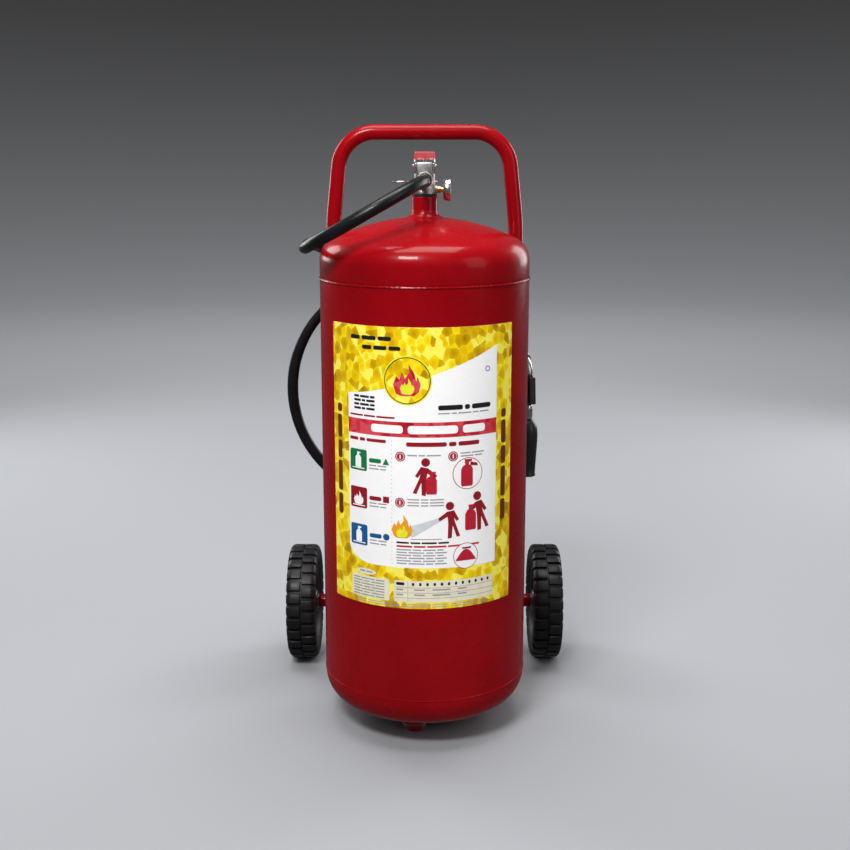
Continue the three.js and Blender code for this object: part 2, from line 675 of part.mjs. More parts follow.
add('nozzle_elbow', tubeAlong(new Elbow(), 9.5, 8, 16), steel, nozzle);
add('hose_ferrule_nozzle', nozzleFerrule(), steel, nozzle);
add('nozzle_grip', nozzleGrip(), rubber, nozzle);
add('nozzle_lever', nozzleLever(), rubber, nozzle);
add('nozzle_lever_pin', alongX(disc(1.5, -6, 6, 12), NOZZLE_LEVER_Y, NOZZLE_LEVER_Z), steel, nozzle);
add('nozzle_coupling', turned([
  [0, COUPLING_BOTTOM_Z],
  [9.6, COUPLING_BOTTOM_Z],
  [9.6, GRIP_BOTTOM_Z - FIT_GAP],
  [0, GRIP_BOTTOM_Z - FIT_GAP],
], 20), steel, nozzle);
add('discharge_horn', turned([
  [0, COUPLING_BOTTOM_Z - FIT_GAP],
  [10, COUPLING_BOTTOM_Z - FIT_GAP],
  [15, 588],
  [20.5, 574],
  [21.5, 562],
  [19.5, 520],
  [17, HORN_MOUTH_Z],
  [14.5, HORN_MOUTH_Z],
  [17, 520],
  [18.5, 560],
  [13, 576],
  [0, 580],
], 20), rubber, nozzle);
add('nozzle_clip', nozzleClip(), steel, nozzle);

// ---------- push handle ----------
function handleFrame() {
  const start = (side) => vec(side * HANDLE_LEG_X, HANDLE_Y, HANDLE_END_Z);
  const cornerZ = HANDLE_TOP_Z;
  const cornerX = HANDLE_NECK_X - ((HANDLE_LEG_X - HANDLE_NECK_X) * (cornerZ - HANDLE_CORNER_Z))
    / (HANDLE_CORNER_Z - HANDLE_SHOULDER_Z);
  const shoulderReach = 24;
  const shoulder = (side) => vec(side * HANDLE_LEG_X, HANDLE_Y, HANDLE_SHOULDER_Z);
  const corner = (side) => vec(side * cornerX, HANDLE_Y, cornerZ);
  const cornerReach = cornerX - HANDLE_STRAIGHT_HALF;
  const path = new THREE.CurvePath();
  const toward = (from, to, reach) => from.clone().lerp(to, reach / from.distanceTo(to));
  const half = (side) => {
    const legTop = toward(shoulder(side), start(side), shoulderReach);
    const neckStart = toward(shoulder(side), corner(side), shoulderReach);
    const neckEnd = toward(corner(side), shoulder(side), cornerReach);
    const barStart = vec(side * HANDLE_STRAIGHT_HALF, HANDLE_Y, cornerZ);
    return [start(side), legTop, shoulder(side), neckStart, neckEnd, corner(side), barStart];
  };
  const left = half(-1);
  const right = half(1);
  const roundness = 0.5523;
  const bend = (before, turn, after) => new THREE.CubicBezierCurve3(
    before, before.clone().lerp(turn, roundness), after.clone().lerp(turn, roundness), after,
  );
  path.add(new THREE.LineCurve3(left[0], left[1]));
  path.add(bend(left[1], left[2], left[3]));
  path.add(new THREE.LineCurve3(left[3], left[4]));
  path.add(bend(left[4], left[5], left[6]));
  path.add(new THREE.LineCurve3(left[6], right[6]));
  path.add(bend(right[6], right[5], right[4]));
  path.add(new THREE.LineCurve3(right[4], right[3]));
  path.add(bend(right[3], right[2], right[1]));
  path.add(new THREE.LineCurve3(right[1], right[0]));
  return tubeAlong(path, HANDLE_TUBE_R, 46, 12);
}

// A weld gusset in the wedge between a handle leg and the vessel, on the rear side of the leg.
function handleGusset(side, level) {
  const legTurn = Math.atan2(HANDLE_Y, HANDLE_LEG_X);
  const low = level - GUSSET_HEIGHT / 2;
  const high = level + GUSSET_HEIGHT / 2;
  const wedge = block([VESSEL_R - 6, 4, low], [VESSEL_R + 14, 26, high]).rotateZ(legTurn);
  if (side < 0) {
    wedge.scale(-1, 1, 1);
  }
  const leg = disc(HANDLE_TUBE_R + FIT_GAP, low - 5, high + 5, 24);
  leg.translate(side * HANDLE_LEG_X, HANDLE_Y, 0);
  return carve([wedge], [disc(VESSEL_R + FIT_GAP, low - 5, high + 5, VESSEL_SIDES), leg]);
}

add('handle_frame', handleFrame(), redPaint);
for (const [sideName, side] of sides) {
  for (const [levelName, level] of Object.entries(GUSSET_LEVELS)) {
    add(`handle_gusset_${sideName}_${levelName}`, handleGusset(side, level), redPaint);
  }
}

// ---------- carriage and wheels ----------
function strut(side) {
  const top = vec(side * STRUT_X, STRUT_Y, STRUT_TOP_Z);
  const bend = vec(side * STRUT_X, STRUT_Y, STRUT_BEND_Z);
  const axle = vec(side * STRUT_X, AXLE_Y, AXLE_Z);
  const lowerEnd = axle.clone().lerp(bend, (AXLE_TUBE_R + FIT_GAP) / axle.distanceTo(bend));
  return tubeAlong(bentPath([top, bend, lowerEnd], 40), STRUT_R, 10, 10);
}

function brace(side) {
  const rear = AXLE_Y - AXLE_TUBE_R - FIT_GAP;
  const tube = alongY(disc(BRACE_R, 160, rear, 16), side * BRACE_X, AXLE_Z);
  return carve([tube], [disc(VESSEL_R + FIT_GAP, AXLE_Z - 40, AXLE_Z + 40, VESSEL_SIDES)]);
}

// Profiles of the wheel parts give [radius, distance from the mid plane] and are mirrored for the left side.
function wheelPart(profile, side, sideCount = WHEEL_SIDES) {
  const mirrored = profile.map(([r, x]) => [r, side * x]);
  return alongX(turned(mirrored, sideCount), AXLE_Y, AXLE_Z);
}

const tyreProfile = [
  [TYRE_BEAD_R, TYRE_INNER_X + 10],
  [96, TYRE_INNER_X + 3],
  [108, TYRE_INNER_X],
  [119, TYRE_INNER_X + 2],
  [TYRE_R, TYRE_INNER_X + 11],
  [TYRE_R, TYRE_OUTER_X - 11],
  [119, TYRE_OUTER_X - 2],
  [108, TYRE_OUTER_X],
  [96, TYRE_OUTER_X - 3],
  [TYRE_BEAD_R, TYRE_OUTER_X - 10],
  [TYRE_BEAD_R, TYRE_INNER_X + 10],
];

const rimSeatR = TYRE_BEAD_R - 0.8;
const hubBoreR = BUSH_R + FIT_GAP;
const rimProfile = [
  [hubBoreR, HUB_INNER_X],
  [HUB_R, HUB_INNER_X],
  [HUB_R, 266],
  [76, 266],
  [80, TYRE_INNER_X + 10],
  [rimSeatR, TYRE_INNER_X + 10],
  [rimSeatR, TYRE_OUTER_X - 10],
  [80, TYRE_OUTER_X - 10],
  [76, 275],
  [HUB_R, 275],
  [HUB_R, HUB_OUTER_X],
  [hubBoreR, HUB_OUTER_X],
  [hubBoreR, HUB_INNER_X],
];

const axleBoreR = AXLE_BAR_R + FIT_GAP;
const closedRing = (inner, outer, low, high) => [
  [inner, low], [outer, low], [outer, high], [inner, high], [inner, low],
];
const bushRing = closedRing(axleBoreR, BUSH_R, HUB_INNER_X, HUB_OUTER_X);

const COTTER_X = 297.5;
const COTTER_R = 1.6;
const cotterShape = (side, extra) => {
  const bar = disc(COTTER_R + extra, AXLE_Z - 13, AXLE_Z + 13, 8);
  return bar.translate(side * COTTER_X, AXLE_Y, 0);
};

function axleBar() {
  const bar = alongX(disc(AXLE_BAR_R, -AXLE_BAR_HALF, AXLE_BAR_HALF, 24), AXLE_Y, AXLE_Z);
  return carve([bar], [cotterShape(-1, FIT_GAP), cotterShape(1, FIT_GAP)]);
}

const axleTube = ring(axleBoreR, AXLE_TUBE_R, -AXLE_TUBE_HALF, AXLE_TUBE_HALF, 24);
add('axle_tube', alongX(axleTube, AXLE_Y, AXLE_Z), redPaint);
add('axle_bar', axleBar(), steel);
for (const [sideName, side] of sides) {
  add(`carriage_strut_${sideName}`, strut(side), redPaint);
  add(`carriage_brace_${sideName}`, brace(side), redPaint);
  add(`tyre_${sideName}`, wheelPart(tyreProfile, side), tyreRubber);
  add(`rim_${sideName}`, wheelPart(rimProfile, side), rimBlack);
  add(`wheel_bush_${sideName}`, wheelPart(bushRing, side, 24), nylon);
  add(`washer_inner_${sideName}`, wheelPart(closedRing(axleBoreR, 16, 240.1, 242.6), side, 24), steel);
  add(`washer_outer_${sideName}`, wheelPart(closedRing(axleBoreR, 16, 291.4, 293.9), side, 24), steel);
  add(`cotter_pin_${sideName}`, cotterShape(side, 0), steel);
}

// ---------- frame ----------
const frontY = -(VESSEL_R + FIT_GAP + LABEL_THICK);
const rearY = AXLE_Y + TYRE_R;
model.position.y = -(frontY + rearY) / 2;

export default model;
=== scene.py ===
"""Looks of the wheeled fire extinguisher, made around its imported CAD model.

The row frame is in metres with +Z up, +X to the right seen from the labelled front and +Y to the rear.
Sizes below are in millimetres about the vessel axis, with z = 0 on the ground.
PLACE turns them into the row frame. The studio's sizes are in metres.
"""

import math
import random

import bmesh
import bpy
from mathutils import Matrix, Vector
from mathutils.geometry import tessellate_polygon


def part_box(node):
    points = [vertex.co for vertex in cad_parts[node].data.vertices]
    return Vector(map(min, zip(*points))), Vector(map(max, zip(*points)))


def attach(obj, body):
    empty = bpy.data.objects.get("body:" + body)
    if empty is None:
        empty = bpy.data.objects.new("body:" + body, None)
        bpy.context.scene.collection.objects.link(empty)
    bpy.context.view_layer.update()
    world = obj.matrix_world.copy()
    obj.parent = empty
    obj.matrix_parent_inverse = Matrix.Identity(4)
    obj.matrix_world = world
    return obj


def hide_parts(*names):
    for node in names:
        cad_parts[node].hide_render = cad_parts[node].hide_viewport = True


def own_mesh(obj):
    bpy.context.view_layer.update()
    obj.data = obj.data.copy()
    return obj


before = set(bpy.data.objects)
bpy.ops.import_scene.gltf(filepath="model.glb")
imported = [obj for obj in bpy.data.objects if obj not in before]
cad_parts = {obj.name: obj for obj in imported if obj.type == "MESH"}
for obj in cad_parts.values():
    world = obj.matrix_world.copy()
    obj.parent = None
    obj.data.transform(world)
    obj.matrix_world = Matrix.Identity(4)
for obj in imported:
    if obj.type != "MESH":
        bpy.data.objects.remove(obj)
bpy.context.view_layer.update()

# ---------- driving sizes ----------
SHELL_LOW, SHELL_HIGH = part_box("cylinder_shell")
AXIS_Y = (SHELL_LOW.y + SHELL_HIGH.y) / 2
PLACE = Matrix.Translation((0, AXIS_Y, 0)) @ Matrix.Scale(0.001, 4)
SIDES = (("left", -1), ("right", 1))

VESSEL_R = 200.0
WALL = 3.2
BOTTOM_SEAM_Z = 107.0
TOP_SEAM_Z = 886.6
TOP_HEAD_BASE = TOP_SEAM_Z + 36
BOTTOM_HEAD_BASE = BOTTOM_SEAM_Z - 5
CROWN_R = 400.0
TOP_KNUCKLE_R = 44.0
BOTTOM_KNUCKLE_R = 60.0
NECK_R = 24.15
NECK_BASE_Z = 1002.6
NECK_TOP_Z = 1040.4
NECK_BORE_R = 18.0
FOOT_R = 31.5
WELD_R = 2.2

HANDLE_TUBE_R = 15.0
HANDLE_Y = 118.0
HANDLE_LEG_X = 181.0
HANDLE_TOP_Z = 1160.8
HANDLE_SHOULDER_Z = 986.0
HANDLE_END_Z = 790.0
HANDLE_SPLAY = 12.5 / 117.0
HANDLE_STRAIGHT_HALF = 98.0
GUSSET_LEVELS = (("upper", 904.0), ("lower", 816.0))
GUSSET_HALF_HEIGHT = 15.0

STRUT_R = 14.0
STRUT_X = 150.0
STRUT_Y = 154.3
STRUT_TOP_Z = 470.0
STRUT_BEND_Z = 350.0
BRACE_R = 12.0
BRACE_X = 90.0
BRACE_SEAT_R = VESSEL_R + 0.6
SHELF_SEAT_R = VESSEL_R + 1.2
SHELF_R = 166.5

AXLE_Y = 303.0
AXLE_Z = 127.0
TYRE_R = 127.0
TYRE_MID_X = 270.5
LUGS_PER_ROW = 28
RIM_SPOKES = 6
SLEEVE_R = 14.5
SLEEVE_BORE_R = 8.35
SLEEVE_HALF = 239.7
AXLE_ROD_R = 8.0
AXLE_ROD_HALF = 302.0
COTTER_X = 297.5

HOSE_R = 11.5
OUTLET_Z = 1072.0
COIL_R = 187.0
COIL_Z = 680.0
COIL_FIRST_Y = 241.0
COIL_PITCH = 24.0
COIL_TURNS = 2
TURN_POINTS = 12

NOZZLE_X = 208.0
NOZZLE_Y = 84.0
NOZZLE_TURN = math.atan2(NOZZLE_Y, NOZZLE_X)
NOZZLE_PLACE = PLACE @ Matrix.Translation((NOZZLE_X, NOZZLE_Y, 0)) @ Matrix.Rotation(NOZZLE_TURN, 4, "Z")
ELBOW_R = 30.0
ELBOW_ANGLE = math.radians(60)
ELBOW_BASE_Z = 686.35
FERRULE_END = 30.7
HOSE_LEAD = 24.3

PIVOT = (0, -11, 1097)
PIVOT_HOLE_R = 3.15
RIVET = (0, 11, 1094)
RIVET_HOLE_R = 2.85
SAFETY = (0, 29, 1067)
SAFETY_HOLE_R = 2.55
SAFETY_SLOT_HALF = 2.9
LEVER_HALF_WIDTH = 19.9
LEVER_TOP_Z = 1124
GRIP_HALF_WIDTH = 14
SHEET_STEEL = 2
BRACKET_HALF_WIDTH = 17.4
SPRING_R = 7.5
SPRING_WIRE_R = 0.9
SPRING_LOW_Z = 1036.2
SPRING_HIGH_Z = 1054.4
SPRING_TURNS = 4
GAUGE_Z = 1053.5
DIAL_X = 42.3

LABEL_START_DEG = -57.0
LABEL_MM_PER_DEG = 3.5
LABEL_W = 110 * LABEL_MM_PER_DEG
LABEL_H = 526.5
LABEL_TOP_Z = 818.5
LABEL_R = 200.75
LABEL_BACK_R = 200.02
STRIP = 5.0
LAYER = 0.13

CAMERA_PLACE = (0.0008, AXIS_Y - 2.450, 1.1261)
CAMERA_PITCH = math.radians(12.143)
CAMERA_LENS = 54.107

FLOOR_FLAT_R = 7.0
COVE_R = 6.0
COVE_TOP_Z = 9.0
# Between these two distances the floor's colour is painted from FLOOR_PALE down to a grey of painted shade,
# and a painted glow grows on it.
PAINTED_FALLOFF_FROM = 3.0
PAINTED_FALLOFF_TO = 12.3
FLOOR_PALE = (0.278, 0.284, 0.299)
FAR_FLOOR_PAINTED_SHADE = (0.030, 0.0303, 0.031)
# Painted glow: the emission that the far floor and backdrop give off, as though they were lit.
FAR_FLOOR_PAINTED_GLOW = (0.022, 0.0222, 0.0227)

# Local x, y and z of a flat drawing, turned so that the drawing stands in the plane of its name.
YZ_PLANE = Matrix(((0, 0, 1, 0), (1, 0, 0, 0), (0, 1, 0, 0), (0, 0, 0, 1)))
XZ_PLANE = Matrix(((1, 0, 0, 0), (0, 0, 1, 0), (0, 1, 0, 0), (0, 0, 0, 1)))
SIDE_VIEW = PLACE @ YZ_PLANE
END_VIEW = PLACE @ XZ_PLANE
DIAL_VIEW = PLACE @ Matrix.Translation((DIAL_X, 0, GAUGE_Z)) @ YZ_PLANE


# ---------- camera ----------
def add_camera():
    data = bpy.data.cameras.new("camera")
    data.lens = CAMERA_LENS
    data.sensor_width = 36
    camera = bpy.data.objects.new("camera", data)
    camera.location = CAMERA_PLACE
    camera.rotation_euler = (math.pi / 2 - CAMERA_PITCH, 0, 0)
    bpy.context.collection.objects.link(camera)
    bpy.context.scene.camera = camera


add_camera()


# ---------- material helpers ----------
class Paint:
    """One node-based material, with short calls for the variation that its surface shows."""

    def __init__(self, name, color, roughness, metallic=0.0, **sockets):
        self.material = bpy.data.materials.new(name)
        self.material.use_nodes = True
        tree = self.material.node_tree
        self.nodes = tree.nodes
        self.links = tree.links
        self.shader = self.nodes["Principled BSDF"]
        self.shader.inputs["Base Color"].default_value = (*color, 1)
        self.shader.inputs["Roughness"].default_value = roughness
        self.shader.inputs["Metallic"].default_value = metallic
        for socket, value in sockets.items():
            self.shader.inputs[socket.replace("_", " ")].default_value = value
        self.coordinates = self.nodes.new("ShaderNodeTexCoord").outputs["Object"]
        self.normal = None
        self.material.diffuse_color = (*color, 1)

    def noise(self, scale, detail):
        node = self.nodes.new("ShaderNodeTexNoise")
        node.inputs["Scale"].default_value = scale
        node.inputs["Detail"].default_value = detail
        node.inputs["Roughness"].default_value = 0.55
        self.links.new(self.coordinates, node.inputs["Vector"])
        return node.outputs["Fac"]

    def ramp(self, factor, stops):
        node = self.nodes.new("ShaderNodeValToRGB")
        elements = node.color_ramp.elements
        while len(elements) < len(stops):
            elements.new(0.5)
        for element, (position, color) in zip(elements, stops):
            element.position = position
            element.color = (*color, 1)
        self.links.new(factor, node.inputs["Fac"])
        return node.outputs["Color"]

    def color_from(self, factor, stops):
        self.links.new(self.ramp(factor, stops), self.shader.inputs["Base Color"])
        return self

    def roughness_from(self, factor, low, high):
        node = self.nodes.new("ShaderNodeMapRange")
        node.inputs["From Min"].default_value = 0.3
        node.inputs["From Max"].default_value = 0.7
        node.inputs["To Min"].default_value = low
        node.inputs["To Max"].default_value = high
        self.links.new(factor, node.inputs["Value"])
        self.links.new(node.outputs["Result"], self.shader.inputs["Roughness"])
        return self

    def bump(self, height, strength, distance):
        node = self.nodes.new("ShaderNodeBump")
        node.inputs["Strength"].default_value = strength
        node.inputs["Distance"].default_value = distance
        self.links.new(height, node.inputs["Height"])
        if self.normal:
            self.links.new(self.normal, node.inputs["Normal"])
        self.normal = node.outputs["Normal"]
        self.links.new(self.normal, self.shader.inputs["Normal"])
        return self

    def voronoi(self, scale, output, stretch):
        mapping = self.nodes.new("ShaderNodeMapping")
        mapping.inputs["Scale"].default_value = stretch
        mapping.inputs["Rotation"].default_value = (0, math.radians(20), 0)
        self.links.new(self.coordinates, mapping.inputs["Vector"])
        node = self.nodes.new("ShaderNodeTexVoronoi")
        node.inputs["Scale"].default_value = scale
        self.links.new(mapping.outputs["Vector"], node.inputs["Vector"])
        return node.outputs[output]


def enamel(name, dark, light, roughness=(0.2, 0.34)):
    """Glossy sprayed enamel: slight colour drift, orange peel and long soft waves in its gloss."""
    paint = Paint(name, light, 0.28, Coat_Weight=0.16, Coat_Roughness=0.05, Specular_IOR_Level=0.08)
    paint.color_from(paint.noise(4.5, 4), [(0.3, dark), (0.7, light)])
    paint.roughness_from(paint.noise(16, 5), *roughness)
    paint.bump(paint.noise(9, 2), 0.25, 0.0012)
    paint.bump(paint.noise(420, 2), 0.10, 0.00025)
    return paint.material


def worn_lever():
    """Red coating on the crown of the lever, rubbed through to bright steel down its cheeks."""
    paint = Paint("lever_enamel", (0.22, 0.003, 0.008), 0.34, Coat_Weight=0.1, Specular_IOR_Level=0.3)
    split = paint.nodes.new("ShaderNodeSeparateXYZ")
    paint.links.new(paint.coordinates, split.inputs["Vector"])
    wear = paint.nodes.new("ShaderNodeMath")
    wear.operation = "MULTIPLY_ADD"
    wear.inputs[1].default_value = 0.010
    paint.links.new(paint.noise(240, 5), wear.inputs[0])
    paint.links.new(split.outputs["Z"], wear.inputs[2])
    kept = paint.nodes.new("ShaderNodeMapRange")
    kept.inputs["From Min"].default_value = 1.1125
    kept.inputs["From Max"].default_value = 1.1165
    paint.links.new(wear.outputs["Value"], kept.inputs["Value"])
    bare = paint.nodes.new("ShaderNodeMath")
    bare.operation = "SUBTRACT"
    bare.inputs[0].default_value = 1.0
    paint.links.new(kept.outputs["Result"], bare.inputs[1])
    paint.links.new(bare.outputs["Value"], paint.shader.inputs["Metallic"])
    stops = [(0.0, (0.62, 0.59, 0.57)), (0.5, (0.36, 0.05, 0.05)), (1.0, (0.21, 0.002, 0.006))]
    paint.color_from(kept.outputs["Result"], stops)
    paint.roughness_from(paint.noise(90, 5), 0.3, 0.45)
    return paint.material


def metal(name, dark, light, roughness, grain=700):
    """Bare or plated metal with fine grain and uneven gloss."""
    paint = Paint(name, light, sum(roughness) / 2, 1.0)
    paint.color_from(paint.noise(38, 5), [(0.32, dark), (0.68, light)])
    paint.roughness_from(paint.noise(grain / 4, 5), *roughness)
    paint.bump(paint.noise(grain, 3), 0.05, 0.0001)
    return paint.material


def polymer(name, dark, light, roughness, grain=500, strength=0.2, **sockets):
    """Moulded plastic or rubber with a fine skin."""
    paint = Paint(name, light, sum(roughness) / 2, **sockets)
    paint.color_from(paint.noise(24, 5), [(0.3, dark), (0.7, light)])
    paint.roughness_from(paint.noise(45, 5), *roughness)
    paint.bump(paint.noise(grain, 3), strength, 0.0003)
    return paint.material


def print_ink(name, color, shade=0.88):
    """Ink on vinyl film, with a faint unevenness."""
    paint = Paint(name, color, 0.34, Coat_Weight=0.15, Coat_Roughness=0.12, Specular_IOR_Level=0.3)
    darker = tuple(channel * shade for channel in color)
    paint.color_from(paint.noise(70, 3), [(0.3, darker), (0.7, color)])
    return paint.material


def foil_ink(name, stops, scale):
    """Printed facets in several tones of one hue."""
    paint = Paint(name, stops[-1][1], 0.34, Coat_Weight=0.06, Coat_Roughness=0.1, Specular_IOR_Level=0.1)
    facets = paint.voronoi(scale, "Color", (1.0, 1.0, 0.8))
    tone = paint.nodes.new("ShaderNodeSeparateColor")
    paint.links.new(facets, tone.inputs["Color"])
    distance = paint.voronoi(scale, "Distance", (1.0, 1.0, 0.8))
    blend = paint.nodes.new("ShaderNodeMath")
    blend.operation = "MULTIPLY_ADD"
    blend.inputs[1].default_value = 0.45
    paint.links.new(distance, blend.inputs[0])
    paint.links.new(tone.outputs["Red"], blend.inputs[2])
    paint.color_from(blend.outputs["Value"], stops)
    return paint.material


RED = enamel("red_enamel", (0.20, 0.0009, 0.0030), (0.28, 0.0014, 0.0045))
LEVER_RED = worn_lever()
NICKEL = metal("nickel_plate", (0.33, 0.31, 0.305), (0.47, 0.445, 0.43), (0.36, 0.52))
STEEL = metal("zinc_steel", (0.38, 0.375, 0.375), (0.58, 0.58, 0.585), (0.26, 0.4))
CHROME = metal("chrome_steel", (0.52, 0.51, 0.51), (0.72, 0.71, 0.71), (0.2, 0.32))
BRASS = metal("brass", (0.48, 0.27, 0.09), (0.72, 0.46, 0.18), (0.18, 0.34))
HOSE_RUBBER = polymer(
    "hose_rubber", (0.004, 0.004, 0.0045), (0.008, 0.008, 0.009), (0.26, 0.4), 700, 0.15,
    Specular_IOR_Level=0.25,
)
TYRE_RUBBER = polymer(
    "tyre_rubber", (0.0045, 0.004, 0.005), (0.011, 0.010, 0.011), (0.36, 0.55), 600, 0.35,
    Specular_IOR_Level=0.3,
)
BLACK_PLASTIC = polymer("black_plastic", (0.008, 0.008, 0.009), (0.017, 0.017, 0.018), (0.3, 0.46), 900, 0.25)
GASKET_RUBBER = polymer("gasket_rubber", (0.005, 0.005, 0.005), (0.01, 0.01, 0.01), (0.5, 0.7), 500, 0.2)
RIM_BLACK = polymer("rim_black", (0.010, 0.010, 0.011), (0.022, 0.022, 0.024), (0.3, 0.48), 420, 0.15)
NYLON = polymer("nylon", (0.60, 0.57, 0.50), (0.74, 0.72, 0.66), (0.4, 0.55), 420, 0.15)
NEEDLE_RED = polymer("needle_red", (0.40, 0.02, 0.02), (0.50, 0.03, 0.03), (0.4, 0.5))
LENS = Paint("lens_clear", (0.93, 0.95, 0.96), 0.03, IOR=1.45, Transmission_Weight=1.0).material
LABEL_GOLD = foil_ink("label_gold", [
    (0.0, (0.30, 0.15, 0.0005)), (0.35, (0.60, 0.36, 0.001)), (0.7, (0.84, 0.56, 0.002)),
    (0.9, (0.90, 0.72, 0.008)), (1.0, (0.95, 0.84, 0.10)),
], 70.0)
LABEL_CRIMSON = foil_ink("label_crimson", [
    (0.0, (0.30, 0.004, 0.014)), (0.5, (0.52, 0.012, 0.035)), (1.0, (0.66, 0.07, 0.09)),
], 60.0)
INKS = {
    "gold": LABEL_GOLD,
    "crimson": LABEL_CRIMSON,
    "white": print_ink("ink_white", (0.96, 0.95, 0.94), shade=0.97),
    "cream": print_ink("ink_cream", (0.84, 0.80, 0.60)),
    "black": print_ink("ink_black", (0.012, 0.012, 0.014)),
    "grey": print_ink("ink_grey", (0.33, 0.33, 0.35)),
    "mist": print_ink("ink_mist", (0.66, 0.68, 0.70)),
    "dark_red": print_ink("ink_dark_red", (0.30, 0.006, 0.015)),
    "red": print_ink("ink_red", (0.50, 0.012, 0.030)),
    "green": print_ink("ink_green", (0.004, 0.19, 0.055)),
    "blue": print_ink("ink_blue", (0.004, 0.10, 0.30)),
    "lemon": print_ink("ink_lemon", (0.84, 0.82, 0.03)),
    "orange": print_ink("ink_orange", (0.88, 0.36, 0.01)),
    "brown": print_ink("ink_brown", (0.14, 0.03, 0.006)),
}


# ---------- mesh helpers ----------
def face_outward(mesh):
    tidy = bmesh.new()
    tidy.from_mesh(mesh)
    bmesh.ops.recalc_face_normals(tidy, faces=tidy.faces)
    tidy.to_mesh(mesh)
    tidy.free()


def add_piece(name, shape, materials, body="chassis", stands_for=(), sharp_deg=38):
    """A new object from (vertices, faces[, material indices]) with smooth shading inside its sharp edges."""
    vertices, faces = shape[0], shape[1]
    mesh = bpy.data.meshes.new(name)
    mesh.from_pydata([tuple(v) for v in vertices], [], faces)
    if len(shape) > 2:
        mesh.polygons.foreach_set("material_index", shape[2])
    else:
        face_outward(mesh)
    mesh.shade_smooth()
    mesh.set_sharp_from_angle(angle=math.radians(sharp_deg))
    piece = bpy.data.objects.new(name, mesh)
    bpy.context.collection.objects.link(piece)
    for material in materials if isinstance(materials, list) else [materials]:
        mesh.materials.append(material)
    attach(piece, body)
    if stands_for:
        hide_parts(*stands_for)
    return piece


def soften(piece, width):
    """Rounds the hard edges of a piece by a width in millimetres."""
    for face in piece.data.polygons:
        face.use_smooth = True
    for layer in ("custom_normal", "sharp_edge"):
        if layer in piece.data.attributes:
            piece.data.attributes.remove(piece.data.attributes[layer])
    weld = piece.modifiers.new("weld", "WELD")
    weld.merge_threshold = 0.000004
    bevel = piece.modifiers.new("edges", "BEVEL")
    bevel.width = width / 1000
    bevel.segments = 2
    bevel.limit_method = "ANGLE"
    bevel.angle_limit = math.radians(32)
    bevel.harden_normals = True
    return piece


def lathe(profile, sides, place=PLACE):
    """A [radius, height] profile turned about the local z axis; it closes on itself or ends on the axis."""
    closed = profile[0] == profile[-1]
    outline = profile[:-1] if closed else profile
    vertices = []
    rings = []
    for radius, height in outline:
        first = len(vertices)
        count = 1 if radius < 1e-6 else sides
        for i in range(count):
            angle = 2 * math.pi * i / sides
            vertices.append(place @ Vector((radius * math.cos(angle), radius * math.sin(angle), height)))
        rings.append([first + i for i in range(count)])
    faces = []
    pairs = list(zip(rings, rings[1:]))
    if closed:
        pairs.append((rings[-1], rings[0]))
    for low, high in pairs:
        for i in range(sides):
            j = (i + 1) % sides
            corners = [low[i % len(low)], low[j % len(low)], high[j % len(high)], high[i % len(high)]]
            corners = list(dict.fromkeys(corners))
            if len(corners) > 2:
                faces.append(corners)
    return vertices, faces


def sweep(path, radius, sides, closed=False):
    """A round tube through a path; its radius is a number or a function of the point's index."""
    count = len(path)
    tangents = []
    for i in range(count):
        before = path[i - 1] if closed or i > 0 else path[i]
        after = path[(i + 1) % count] if closed or i < count - 1 else path[i]
        tangents.append((after - before).normalized())
    side = tangents[0].orthogonal().normalized()
    vertices = []
    for i, point in enumerate(path):
        side = (side - tangents[i] * side.dot(tangents[i])).normalized()
        up = tangents[i].cross(side)
        reach = radius(i) if callable(radius) else radius
        for k in range(sides):
            angle = 2 * math.pi * k / sides
            vertices.append(point + reach * (math.cos(angle) * side + math.sin(angle) * up))
    faces = []
    shift = 0
    if closed:
        first, last = vertices[0], vertices[-sides:]
        shift = min(range(sides), key=lambda k: (last[k] - first).length)
    for i in range(count if closed else count - 1):
        j = (i + 1) % count
        turn = shift if closed and j == 0 else 0
        for k in range(sides):
            n = (k + 1) % sides
            near = [i * sides + (k + turn) % sides, i * sides + (n + turn) % sides]
            faces.append([*near, j * sides + n, j * sides + k])
    if not closed:
        faces.append(list(range(sides)))
        faces.append([(count - 1) * sides + k for k in range(sides)])
    return vertices, faces


def joined(*shapes):
    """Several (vertices, faces) shapes as one."""
    vertices = []
    faces = []
    for shape in shapes:
        base = len(vertices)
        vertices.extend(shape[0])
        faces.extend([[base + i for i in face] for face in shape[1]])
    return vertices, faces


def rounded_block(low, high, place=PLACE, bevel=1.0, segments=3):
    """A box with rounded edges, from its two corners."""
    block = bmesh.new()
    bmesh.ops.create_cube(block, size=1)
    size = Vector(high) - Vector(low)
    middle = (Vector(high) + Vector(low)) / 2
    for vertex in block.verts:
        vertex.co = middle + Vector(c * s for c, s in zip(vertex.co, size))
    bmesh.ops.bevel(block, geom=block.edges[:], offset=bevel, segments=segments, profile=0.5, affect="EDGES")
    block.verts.index_update()
    shape = [place @ v.co for v in block.verts], [[v.index for v in f.verts] for f in block.faces]
    block.free()
    return shape


def arc(centre_r, centre_h, radius, from_deg, to_deg, count):
    """Profile points along an arc, both ends included."""
    points = []
    for i in range(count + 1):
        angle = math.radians(from_deg + (to_deg - from_deg) * i / count)
        points.append((centre_r + radius * math.cos(angle), centre_h + radius * math.sin(angle)))
    return points


def grooves(radius, depth, start, pitch, steps, count):
    """Profile points of equal grooves along a barrel; the four steps are one groove's edges and floor."""
    points = []
    for i in range(count):
        for step, reach in zip(steps, (radius, radius - depth, radius - depth, radius)):
            points.append((reach, start + pitch * i + step))
    return points


